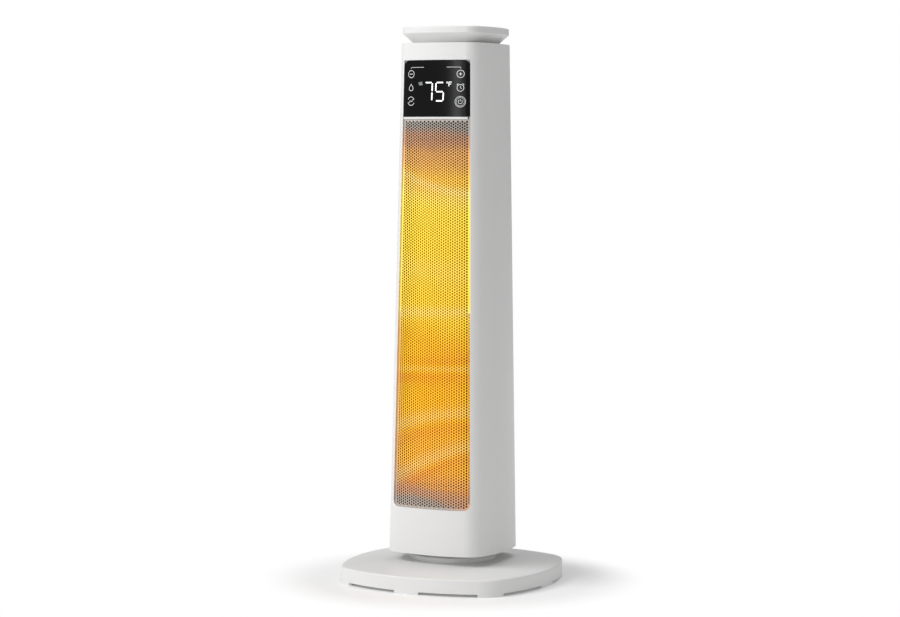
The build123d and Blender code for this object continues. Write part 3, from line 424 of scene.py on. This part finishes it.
def height_ramp(tree, share, colours):
    """A ramp over the window's height with one colour for each glow stop."""
    ramp = tree.nodes.new("ShaderNodeValToRGB")
    ramp.color_ramp.interpolation = "EASE"
    elements = ramp.color_ramp.elements
    elements.remove(elements[1])
    for index, colour in enumerate(colours):
        at = (glow_stops[index][0] - window_low) / (window_high - window_low)
        stop = elements[0] if index == 0 else elements.new(at)
        stop.position = at
        stop.color = (*colour, 1)
    tree.links.new(share, ramp.inputs["Fac"])
    return ramp.outputs["Color"]


def pull(tree, base, colour, light, gain):
    """Mixes a base towards a colour by light times gain, where that is above 0."""
    mix = tree.nodes.new("ShaderNodeMix")
    mix.data_type = "RGBA"
    mix.inputs["B"].default_value = (*colour, 1)
    amount = math_node(tree, "MAXIMUM", math_node(tree, "MULTIPLY", light, gain), 0.0)
    tree.links.new(amount, mix.inputs["Factor"])
    tree.links.new(base, mix.inputs["A"])
    return mix.outputs["Result"]


# The field is painted light: a colour that stands in for the heater's glow, not a lamp.
def glow_field(tree):
    """The glow's colour, its strength from 0 to 1, and the place across the front, as three sockets."""
    place = tree.nodes.new("ShaderNodeTexCoord")
    split = tree.nodes.new("ShaderNodeSeparateXYZ")
    tree.links.new(place.outputs["Object"], split.inputs["Vector"])
    x = split.outputs["X"]
    z = split.outputs["Z"]
    waves = noise(tree, swirl_scale, 2.0, swirl_stretch)
    swirl = math_node(tree, "MULTIPLY", math_node(tree, "SUBTRACT", waves.outputs["Fac"], 0.5), swirl_height)
    level = math_node(tree, "ADD", math_node(tree, "MULTIPLY_ADD", x, glow_lean, z), swirl)
    above = math_node(tree, "SUBTRACT", level, window_low)
    share = math_node(tree, "DIVIDE", above, window_high - window_low)
    colours = height_ramp(tree, share, [colour for _, colour, _ in glow_stops])
    strengths = height_ramp(tree, share, [(strength, strength, strength) for _, _, strength in glow_stops])
    light = None
    for height, slope, sag, thickness, gain in light_bands:
        band = math_node(tree, "MULTIPLY", light_band(tree, x, z, height, slope, sag, thickness), gain)
        light = band if light is None else math_node(tree, "ADD", light, band)
    paler = pull(tree, colours, pale_orange, light, pale_gain)
    return pull(tree, paler, deep_orange, light, deep_gain), strengths, x


print("field of colour: ready, leaning", glow_lean, "m for each metre across")

# %% [markdown]
# ## A surface that glows
# The sheet is silver paint in warm light, and the screen behind it is dark with light on it. Emission
# alone would turn either into a lamp, and a tint alone would go dull in a dark room. So both take the
# field as their colour and as a weak emission. The glow fades towards the sides, where the casing shades
# it, and its middle lies a few millimetres to one side, as the photographed light does.

# %% A glowing finish
glow_middle = 0.005
glow_roughness = 0.42
glow_specular = 0.2


def glowing(name, base, glow_gain, edge_start, edge_end, emission):
    """A surface with the glow painted into its colour and emission; it fades out between two distances from
    the middle.
    """
    material, tree, shader = new_material(name, base, glow_roughness)
    shader.inputs["Specular IOR Level"].default_value = glow_specular
    colour, strength, x = glow_field(tree)
    side = math_node(tree, "ABSOLUTE", math_node(tree, "SUBTRACT", x, glow_middle))
    fade = tree.nodes.new("ShaderNodeMapRange")
    fade.interpolation_type = "SMOOTHSTEP"
    fade.inputs["From Min"].default_value = edge_start
    fade.inputs["From Max"].default_value = edge_end
    fade.inputs["To Min"].default_value = 1.0
    fade.inputs["To Max"].default_value = 0.0
    tree.links.new(side, fade.inputs["Value"])
    faded = math_node(tree, "MULTIPLY", strength, fade.outputs["Result"])
    amount = math_node(tree, "MULTIPLY", faded, glow_gain)
    # The tint paints the glow's light into the base colour, so it shows under any lamp.
    tint = tree.nodes.new("ShaderNodeMix")
    tint.data_type = "RGBA"
    tint.inputs["A"].default_value = (*base, 1)
    tree.links.new(amount, tint.inputs["Factor"])
    tree.links.new(colour, tint.inputs["B"])
    tree.links.new(tint.outputs["Result"], shader.inputs["Base Color"])
    tree.links.new(colour, shader.inputs["Emission Color"])
    tree.links.new(math_node(tree, "MULTIPLY", amount, emission), shader.inputs["Emission Strength"])
    return material


print("glowing finish: ready")

# %% [markdown]
# ## The perforated front
# The real sheet is punched with some 4,500 round holes on a honeycomb layout, 3 mm apart, and pressed to
# the body's bow. Cutting them with booleans would take minutes and leave poor faces, and a texture with
# holes in it would have no thickness. Instead each hole is born with its own hexagonal cell: a ring of
# points on the hole, a ring on the cell's edge, and quads between. Before that, the sheet's outline has
# to be known, with its round lower corners.

# %% The sheet's sizes and outline
hole_pitch = 3.0 * mm
hole_radius = 1.2 * mm
sheet_thickness = 0.8 * mm
grille_recess = 2.0 * mm
rim_width = 1.5 * mm
corner_radius = window_corner - 0.3 * mm
sheet_low = grille_low[2]
sheet_high = grille_high[2]


def inside_outline(x, z, margin=0.0):
    """The point inside the sheet's outline that is nearest to a point."""
    z = min(max(z, sheet_low + margin), sheet_high - margin)
    reach = window_half(z) - margin
    x = min(max(x, -reach), reach)
    radius = corner_radius - margin
    centre_z = sheet_low + margin + radius
    centre_x = window_half(centre_z) - margin - radius
    if z < centre_z and abs(x) > centre_x:
        off = Vector((abs(x) - centre_x, z - centre_z))
        if off.length > radius:
            off = off.normalized() * radius
        x = math.copysign(centre_x + off.x, x)
        z = centre_z + off.y
    return x, z


print("sheet:", round(sheet_high - sheet_low, 4), "m high, half widths from",
      round(window_half(sheet_low), 4), "to", round(window_half(sheet_high), 4), "m")

# %% [markdown]
# ## One cell for each hole
# A cell's edge points are found from the hexagon, so neighbouring cells share them and the sheet is one
# surface. A cell whose hole would cross the border stays whole, and edge points that fall outside slide
# onto the outline, which gives the plain rim. The tower tapers, so the columns close up with height, and
# each point is narrowed by the width at its own height.

# %% Helpers for the cells
ring_points = 12
ring_angles = [2 * math.pi * index / ring_points for index in range(ring_points)]
ring_steps = [(index, (index + 1) % ring_points) for index in range(ring_points)]
speck = 0.05 * mm
hair = 0.001 * mm


def hexagon_reach(angle):
    """How far a cell's edge lies from its middle in one direction."""
    slant = max(abs(math.cos(angle - math.pi / 6 - math.pi / 3 * side)) for side in range(6))
    return hole_pitch / 2 / slant


def keep_columns():
    """How many columns fit beside the middle one, and the step that makes the last end at the rim."""
    room = window_half((sheet_low + sheet_high) / 2) - rim_width
    columns = round(room / (hole_pitch * math.sqrt(3) / 2))
    return columns, room / columns


edge_reaches = [(hexagon_reach(turn), turn) for turn in ring_angles]
edge_offsets = [(reach * math.cos(turn), reach * math.sin(turn)) for reach, turn in edge_reaches]
hole_offsets = [(hole_radius * math.cos(turn), hole_radius * math.sin(turn)) for turn in ring_angles]


def cell_edge(centre_u, centre_z, narrowing):
    """A cell's edge points, narrowed at their own height and moved inside the outline."""
    outer = []
    for aside, above in edge_offsets:
        z = centre_z + above
        outer.append(inside_outline((centre_u + aside) * narrowing(z), z))
    return outer


print("columns of holes:", 2 * keep_columns()[0] + 1)

# %% Build the cells
def build_sheet():
    """The perforated sheet's points, faces and number of holes."""
    middle_half = window_half((sheet_low + sheet_high) / 2)
    hole_columns, column_step = keep_columns()
    columns = hole_columns + 2
    rows = int((sheet_high - sheet_low) / hole_pitch) + 2
    points = []
    found = {}
    faces = []
    holes = 0

    def narrowing(z):
        return window_half(z) / middle_half

    def add_point(x, z, depth, key=None):
        if key is not None and key in found:
            return found[key]
        points.append((x, front_y(x, z, grille_recess + depth), z))
        if key is not None:
            found[key] = len(points) - 1
        return len(points) - 1

    for column in range(-columns, columns + 1):
        for row in range(rows + 1):
            centre_z = sheet_low + (row + (0.5 if column % 2 else 0.0)) * hole_pitch
            centre_x = column * column_step * narrowing(centre_z)
            outer = cell_edge(column * column_step, centre_z, narrowing)
            if max(abs(a[0] - b[0]) + abs(a[1] - b[1]) for a in outer for b in outer) < speck:
                continue
            edge = [add_point(x, z, 0.0, (round(x / mm, 2), round(z / mm, 2))) for x, z in outer]
            room_x, room_z = inside_outline(centre_x, centre_z, rim_width)
            if abs(room_x - centre_x) + abs(room_z - centre_z) >= hair:
                loop = [edge[i] for i in range(ring_points) if edge[i] != edge[i - 1]]
                if len(set(loop)) > 2:
                    faces.append(loop[::-1])
                continue
            holes += 1
            ring = []
            for depth in (0.0, sheet_thickness):
                rim = [(centre_x + aside, centre_z + above) for aside, above in hole_offsets]
                ring.append([add_point(x, z, depth) for x, z in rim])
            for here, after in ring_steps:
                faces.append([edge[after], edge[here], ring[0][here], ring[0][after]])
                faces.append([ring[0][after], ring[0][here], ring[1][here], ring[1][after]])
    return points, faces, holes


sheet_points, sheet_faces, hole_count = build_sheet()
print("perforated sheet:", hole_count, "holes,", len(sheet_faces), "faces")

# %% [markdown]
# ## From points to a piece
# Points and faces become an object in two steps: a mesh takes them, and an object holds the mesh. The
# piece then rides on a body of the CAD frame, so that it follows when the tower swings. Parenting by hand
# would do the same, but riding is by name.

# %% A helper that makes a piece
def add_mesh(name, points, faces, material, body, smooth=False):
    """A mesh piece that rides on a body."""
    mesh = bpy.data.meshes.new(name)
    mesh.from_pydata(points, [], faces)
    mesh.validate()
    mesh.update()
    obj = bpy.data.objects.new(name, mesh)
    bpy.context.collection.objects.link(obj)
    mesh.materials.append(material)
    for polygon in mesh.polygons:
        polygon.use_smooth = smooth
    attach(obj, body)
    return obj


print("pieces so far:", len(bpy.data.meshes))

# %% [markdown]
# ## Weld and shade the sheet
# Points that fall almost on each other along the border are welded, so that no sliver faces are left. The
# sheet is shaded smooth, because its facets would glitter, but each hole's rim stays sharp, as a punch
# leaves it. The sharp edges could be found by a modifier, but here the angle between faces is enough.

# %% Make the perforated sheet
sheet_silver = (0.50, 0.49, 0.475)
weld_distance = 0.02 * mm
hole_edge_angle = math.radians(40)

# The sheet's silver carries the painted glow in its colour and as a weak emission.
sheet_metal_painted_glow = glowing("perforated_sheet", sheet_silver, glow_gain=0.95,
                      edge_start=0.040, edge_end=0.062, emission=0.42)
perforated_sheet = add_mesh("perforated_sheet", sheet_points, sheet_faces, sheet_metal_painted_glow, "tower")
sheet_edit = bmesh.new()
sheet_edit.from_mesh(perforated_sheet.data)
bmesh.ops.remove_doubles(sheet_edit, verts=sheet_edit.verts, dist=weld_distance)
sheet_edit.normal_update()
for edge in sheet_edit.edges:
    edge.smooth = len(edge.link_faces) != 2 or edge.calc_face_angle() < hole_edge_angle
for face in sheet_edit.faces:
    face.smooth = True
sheet_edit.to_mesh(perforated_sheet.data)
sheet_edit.free()
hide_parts("front_grille")
print("sheet after welding:", len(perforated_sheet.data.polygons), "faces")

# %% [markdown]
# ## The lit core, as a painted screen
# Just behind the sheet hangs what glows through the holes. On the real heater that is the hot air and the
# lit ceramic core. The fins could be given the glow themselves, but they sit deep and in shade. A thin
# bowed screen a few millimetres behind the sheet stands in for them: its near-black colour is painted
# shade, and it carries the same painted glow, darker than the sheet and fading towards the sides, where
# the holes look into the unlit casing.

# %% Build the glow screen
screen_inset = 6.5 * mm
screen_columns = 24
screen_rows = 60
screen_half = 38 * mm
# The screen's near-black colour is painted shade, and the glow on it is painted light.
screen_painted_shade = (0.006, 0.005, 0.005)
screen_points = []
screen_faces = []
for row in range(screen_rows + 1):
    z = sheet_low + (sheet_high - sheet_low) * row / screen_rows
    for column in range(screen_columns + 1):
        x = -screen_half + 2 * screen_half * column / screen_columns
        screen_points.append((x, front_y(x, z, screen_inset), z))
for row in range(screen_rows):
    for column in range(screen_columns):
        first = row * (screen_columns + 1) + column
        screen_faces.append([first, first + 1, first + screen_columns + 2, first + screen_columns + 1])
screen_painted_glow = glowing("screen_painted_glow", screen_painted_shade, glow_gain=0.30, edge_start=0.020, edge_end=0.044, emission=0.10)
glow_screen = add_mesh("glow_screen", screen_points, screen_faces, screen_painted_glow, "tower", smooth=True)
print("glow screen:", len(screen_faces), "faces")

# %% [markdown]
# ## The touch panel and its strip
# The panel is a glossy black plate, as bowed as the body. A clear coat over black would give two
# reflections and a grey veil, so it is a single smooth dark shader with a low specular level. What makes
# it read as glass-like is what it reflects, so the lights matter more than the colour. The strip below it
# is pale, with a little painted light from a weak emission.

# %% Dress the panel, the strip and the sensor window
panel_specular = 0.24
strip_painted_light = 0.12
panel_black = moulded("panel_black", (0.002, 0.002, 0.0025), 0.19, grain_scale=30.0, grain_depth=0.01 * mm)
panel_black.node_tree.nodes["Principled BSDF"].inputs["Specular IOR Level"].default_value = panel_specular
dress(panel_black, "control_panel", "sensor_window")
strip_white, strip_tree, strip_shader = new_material("strip_white", (0.64, 0.64, 0.63), 0.25)
# The strip's weak white emission is painted light.
strip_shader.inputs["Emission Color"].default_value = (1, 1, 1, 1)
strip_shader.inputs["Emission Strength"].default_value = strip_painted_light
strip_sheen = noise(strip_tree, 60.0, 2.0)
vary(strip_tree, strip_sheen.outputs["Fac"], strip_shader.inputs["Roughness"], 0.2, 0.32)
dress(strip_white, "trim_strip")
print("CAD nodes dressed:", len(dressed_nodes), "of", len(nodes))

# %% [markdown]
# ## Marks on the panel
# The lit marks are flat shapes a hair above the panel. They could be text and curve objects, but those
# would need bending to the bow. Here every mark is a list of strokes, each a line of points across the
# panel with a width, so a ring, a clock and a digit all come from one helper. The helper cuts long
# strokes into short steps, because the panel is bowed and a long straight piece would sink into it.

# %% Rings, and places on the bowed panel
panel_recess = 0.8 * mm
mark_lift = 0.06 * mm
mark_step = 1.0 * mm
joined = 0.01


def ring_line(centre_x, centre_z, radius, start=0, end=360, steps=40):
    """Points round a circle, or part of one, in millimetres; 0 degrees is up and turns go clockwise."""
    line = []
    for index in range(steps + 1):
        angle = math.radians(start + (end - start) * index / steps)
        line.append((centre_x + radius * math.sin(angle), centre_z + radius * math.cos(angle)))
    return line


def on_panel(x, z):
    """A point just above the panel, given in millimetres."""
    return (x * mm, front_y(x * mm, z * mm, panel_recess) - mark_lift, z * mm)


def short_steps(line):
    """A line's points with more between them wherever they are far apart."""
    fine = [line[0]]
    for before, after in zip(line, line[1:]):
        cuts = max(1, int(math.dist(before, after) * mm / mark_step))
        for cut in range(1, cuts + 1):
            share = cut / cuts
            x = before[0] + share * (after[0] - before[0])
            z = before[1] + share * (after[1] - before[1])
            fine.append((x, z))
    return fine


print("marks lie", mark_lift / mm, "mm above the panel")

# %% Turn strokes into a lit mark
def add_mark(name, strokes, glow):
    """A mark made of strokes; each is a list of points and a width, in millimetres."""
    points = []
    faces = []
    for line, width in strokes:
        fine = short_steps(line)
        first = len(points)
        closed = math.dist(fine[0], fine[-1]) < joined
        for index, (x, z) in enumerate(fine):
            back = fine[index - 1] if index > 0 else (fine[-2] if closed else fine[0])
            front = fine[index + 1] if index + 1 < len(fine) else (fine[1] if closed else fine[-1])
            along = Vector((front[0] - back[0], front[1] - back[1])).normalized()
            aside = Vector((-along.y, along.x)) * width / 2
            points.append(on_panel(x + aside.x, z + aside.y))
            points.append(on_panel(x - aside.x, z - aside.y))
        for index in range(len(fine) - 1):
            low = first + 2 * index
            faces.append([low, low + 1, low + 3, low + 2])
    mark = add_mesh(name, points, faces, glow, "tower")
    print(name, len(faces), "faces")


def mark_light(name, colour, strength):
    """Printed white that is lit from behind."""
    material, tree, shader = new_material(name, colour, 0.5)
    shader.inputs["Emission Color"].default_value = (*colour, 1)
    shader.inputs["Emission Strength"].default_value = strength
    unevenness = noise(tree, 900.0, 2.0)
    vary(tree, unevenness.outputs["Fac"], shader.inputs["Roughness"], 0.4, 0.6)
    return material


icon_strength = 0.34
digit_strength = 0.75
icon_light = mark_light("icon_light", (0.62, 0.63, 0.64), icon_strength)
digit_light = mark_light("digit_light", (0.92, 0.94, 0.96), digit_strength)
print("symbols are lit at", icon_strength, "and digits at", digit_strength)

# %% [markdown]
# ## The touch symbols
# The symbols are plain ones that any heater might carry: less, more, heat drop, timer, swing and power.
# They stand in two columns, the same distance from the middle. A font of symbols would be quicker, but
# its shapes would not be these, so each is drawn with rings and lines, in millimetres.

# %% Draw less and more
column = 29.8
ring_width = 0.6
bar_width = 0.7
less_z = 558.4
more_z = 558.2

less_bar = [(-column - 1.8, less_z), (-column + 1.8, less_z)]
add_mark("mark_less", [(ring_line(-column, less_z, 3.9), ring_width), (less_bar, bar_width)], icon_light)

more_bar = [(column - 1.9, more_z), (column + 1.9, more_z)]
more_stem = [(column, more_z - 1.9), (column, more_z + 1.9)]
more = [(ring_line(column, more_z, 4.0), ring_width), (more_bar, bar_width), (more_stem, bar_width)]
add_mark("mark_more", more, icon_light)

# %% Draw the heat drop and the timer
drop_z = 542.9
drop_tip = (-column, drop_z + 4.7)
drop = [drop_tip] + ring_line(-column, drop_z, 2.6, 60, 300) + [drop_tip]
add_mark("mark_heat", [(drop, ring_width)], icon_light)

timer_z = 543.2
clock_hands = [(column, timer_z + 2.4), (column, timer_z), (column + 1.5, timer_z - 0.9)]
clock = [(ring_line(column, timer_z, 3.7), ring_width), (clock_hands, ring_width)]
for bell_start in (-52, 28):
    clock.append((ring_line(column, timer_z, 5.0, bell_start, bell_start + 24, 6), bar_width))
add_mark("mark_timer", clock, icon_light)

# %% Draw swing, power and the bracket
swing_z = 529.1
swing = [(ring_line(-column, swing_z + 0.5, 4.1, -70, 70, 24), ring_width)]
swing.append((ring_line(-column, swing_z - 0.5, 4.1, 110, 250, 24), ring_width))
for side in (1, -1):
    tip_x = -column + side * 4.1
    tip_z = swing_z + side * 1.9
    barb_out = (tip_x - side * 1.7, tip_z + side * 2.1)
    barb_in = (tip_x - side * 2.5, tip_z - side * 0.7)
    swing.append(([barb_out, (tip_x, tip_z), barb_in], 0.5))
swing.append(([(-column - 1.9, swing_z), (-column + 1.9, swing_z)], bar_width))
add_mark("mark_swing", swing, icon_light)

power_z = 528.3
power = [(ring_line(column, power_z, 5.7, steps=56), 0.5), (ring_line(column, power_z, 4.4), 0.35)]
power.append((ring_line(column, power_z, 2.2, 40, 320, 30), 0.5))
power.append(([(column, power_z + 0.5), (column, power_z + 2.9)], ring_width))
add_mark("mark_power", power, icon_light)

bracket_z = 565.6
brackets = []
for side, inner in ((-1, 13.2), (1, 14.3)):
    outer = side * column
    brackets.append(([(outer, bracket_z - 1.6), (outer, bracket_z), (side * inner, bracket_z)], 0.45))
add_mark("mark_bracket", brackets, icon_light)

# %% [markdown]
# ## The display
# The real display has digits of seven straight segments with small gaps between them. A font would need a
# licence and has the wrong gaps, so each digit is a list of its lit segments, named a to g as display
# makers do. A lean of a few hundredths makes them stand like the real ones. A degree sign and a letter
# for the scale follow.

# %% Digits from seven segments
segment_ends = {
    "a": ((0, 1), (1, 1)), "b": ((1, 1), (1, 0.5)), "c": ((1, 0.5), (1, 0)), "d": ((0, 0), (1, 0)),
    "e": ((0, 0), (0, 0.5)), "f": ((0, 0.5), (0, 1)), "g": ((0, 0.5), (1, 0.5)),
}
digit_segments = {"7": "abc", "5": "afgcd"}
digit_width = 9.1
digit_height = 19.8
digit_bottom = 529.2
digit_slant = 0.03
segment_width = 1.45
segment_gap = 0.8


def digit_strokes(left, digit):
    """The lit segments of one digit, in millimetres."""
    strokes = []
    for name in digit_segments[digit]:
        (x0, z0), (x1, z1) = segment_ends[name]
        start = Vector((left + x0 * digit_width, digit_bottom + z0 * digit_height))
        end = Vector((left + x1 * digit_width, digit_bottom + z1 * digit_height))
        start.x += digit_slant * (start.y - digit_bottom)
        end.x += digit_slant * (end.y - digit_bottom)
        along = (end - start).normalized() * segment_gap
        strokes.append(([tuple(start + along), tuple(end - along)], segment_width))
    return strokes


add_mark("display_digits", digit_strokes(-12.1, "7") + digit_strokes(1.4, "5"), digit_light)

# %% The degree sign, the scale and the heat sign
scale_left = 17.0
scale_top = 549.5
degree = [(ring_line(15.1, scale_top - 0.5, 0.75, steps=16), 0.45)]
degree.append(([(scale_left, scale_top - 4.6), (scale_left, scale_top), (scale_left + 3.2, scale_top)], 0.75))
degree.append(([(scale_left, scale_top - 2.2), (scale_left + 2.6, scale_top - 2.2)], 0.65))
add_mark("display_scale", degree, digit_light)

wave_left = -17.3
wave_bottom = 546.2
wave_rises = [0.6 * step for step in range(7)]
heat_waves = []
for offset in (-1.7, 0.0, 1.7):
    wave = [(wave_left + offset + 0.45 * math.sin(rise * 1.9), wave_bottom + rise) for rise in wave_rises]
    heat_waves.append((wave, 0.45))
add_mark("display_heat", heat_waves, icon_light)

# %% [markdown]
# ## The floor
# The object stands on white, as in a catalogue. More light would get there too, but it would burn out the
# white plastic. Instead the floor is pale, lifted a little by emission, and takes the shadow near the
# stand. Further off it turns into plain white for the eye and for reflections only, through the Light
# Path node, and stays a pale floor for all other rays, so the light that it sends back up is true.

# %% Lay the floor
floor_size = 14.0
shadow_near = 0.14
shadow_far = 0.22
floor_lift = 0.10
floor_specular = 0.25
reach = floor_size / 2
floor_corners = [(-reach, -reach, 0), (reach, -reach, 0), (reach, reach, 0), (-reach, reach, 0)]
floor_mesh = bpy.data.meshes.new("floor")
floor_mesh.from_pydata(floor_corners, [], [[0, 1, 2, 3]])
floor = bpy.data.objects.new("floor", floor_mesh)
bpy.context.collection.objects.link(floor)
floor_material, floor_tree, floor_shader = new_material("floor_white", (0.86, 0.86, 0.86), 0.5)
floor_shader.inputs["Specular IOR Level"].default_value = floor_specular
floor_shader.inputs["Emission Color"].default_value = (1, 1, 1, 1)
floor_shader.inputs["Emission Strength"].default_value = floor_lift
floor_mesh.materials.append(floor_material)
print("floor:", floor_size, "m")

# %% Fade the floor to white
rays = floor_tree.nodes.new("ShaderNodeLightPath")
seen = math_node(floor_tree, "MAXIMUM", rays.outputs["Is Camera Ray"], rays.outputs["Is Glossy Ray"])
where = floor_tree.nodes.new("ShaderNodeTexCoord")
from_axis = floor_tree.nodes.new("ShaderNodeVectorMath")
from_axis.operation = "LENGTH"
floor_tree.links.new(where.outputs["Object"], from_axis.inputs[0])
away = floor_tree.nodes.new("ShaderNodeMapRange")
away.interpolation_type = "SMOOTHSTEP"
away.inputs["From Min"].default_value = shadow_near
away.inputs["From Max"].default_value = shadow_far
floor_tree.links.new(from_axis.outputs["Value"], away.inputs["Value"])
white = floor_tree.nodes.new("ShaderNodeEmission")
blend = floor_tree.nodes.new("ShaderNodeMixShader")
floor_output = floor_tree.nodes["Material Output"]
floor_tree.links.new(math_node(floor_tree, "MULTIPLY", seen, away.outputs["Result"]), blend.inputs["Fac"])
floor_tree.links.new(floor_shader.outputs["BSDF"], blend.inputs[1])
floor_tree.links.new(white.outputs["Emission"], blend.inputs[2])
floor_tree.links.new(blend.outputs["Shader"], floor_output.inputs["Surface"])
print("floor turns white between", shadow_near, "and", shadow_far, "m from the middle")

# %% [markdown]
# ## The world
# The world is the studio's walls. Seen straight on it is white, and as a light it is only a third as
# strong, so that the shaded sides of the tower keep their tone. One strength for both would either grey
# the background or flatten the object.

# %% Light the world
world_light = 0.34
world = bpy.data.worlds.new("studio")
bpy.context.scene.world = world
world.use_nodes = True
world_tree = world.node_tree
backdrop = world_tree.nodes["Background"]
world_rays = world_tree.nodes.new("ShaderNodeLightPath")
backdrop.inputs["Color"].default_value = (1, 1, 1, 1)
world_seen = world_tree.nodes.new("ShaderNodeMapRange")
world_seen.inputs["To Min"].default_value = world_light
world_seen.inputs["To Max"].default_value = 1.0
to_the_eye = world_rays.outputs["Is Camera Ray"]
through_glass = world_rays.outputs["Is Transmission Ray"]
world_tree.links.new(math_node(world_tree, "MAXIMUM", to_the_eye, through_glass), world_seen.inputs["Value"])
world_tree.links.new(world_seen.outputs["Result"], backdrop.inputs["Strength"])
print("world light:", world_light)

# %% [markdown]
# ## The lamps
# A photographer would use soft boxes. The big one from the front left shapes the body, and a narrow
# upright one almost straight in front gives the black panel its gleam. A weak one opens up the right
# side, and one above and behind lights the stand and the cap. Spot lamps would cost the same, but their
# hard shadows would not suit satin plastic. The lamps stay weak enough that the white shells keep their
# shading.

# %% Hang the lamps
aim = Vector((0, 0, 0.3))

# each lamp: name, degrees round from the front, degrees up, metres away, width and height in metres, watts
lamps = [
    ("key_light", -40, 40, 3.2, 1.8, 1.4, 63.0),
    ("panel_gleam", -3, 3, 2.6, 0.32, 1.6, 7.5),
    ("right_fill", 100, 25, 2.6, 1.2, 1.4, 0.9),
    ("top_light", 150, 72, 2.2, 1.4, 1.4, 14.0),
]
for name, azimuth, elevation, distance, width, height, power in lamps:
    data = bpy.data.lights.new(name, "AREA")
    data.shape = "RECTANGLE"
    data.size = width
    data.size_y = height
    data.energy = power
    lamp = bpy.data.objects.new(name, data)
    bpy.context.collection.objects.link(lamp)
    turn_by = math.radians(azimuth)
    rise = math.radians(elevation)
    level = Vector((math.sin(turn_by), -math.cos(turn_by), 0))
    outward = level * math.cos(rise) + Vector((0, 0, math.sin(rise)))
    lamp.location = aim + outward * distance
    lamp.rotation_euler = (-outward).to_track_quat("-Z", "Y").to_euler()
bpy.context.scene.view_settings.view_transform = "Standard"
print("lamps:", [name for name, *_ in lamps])
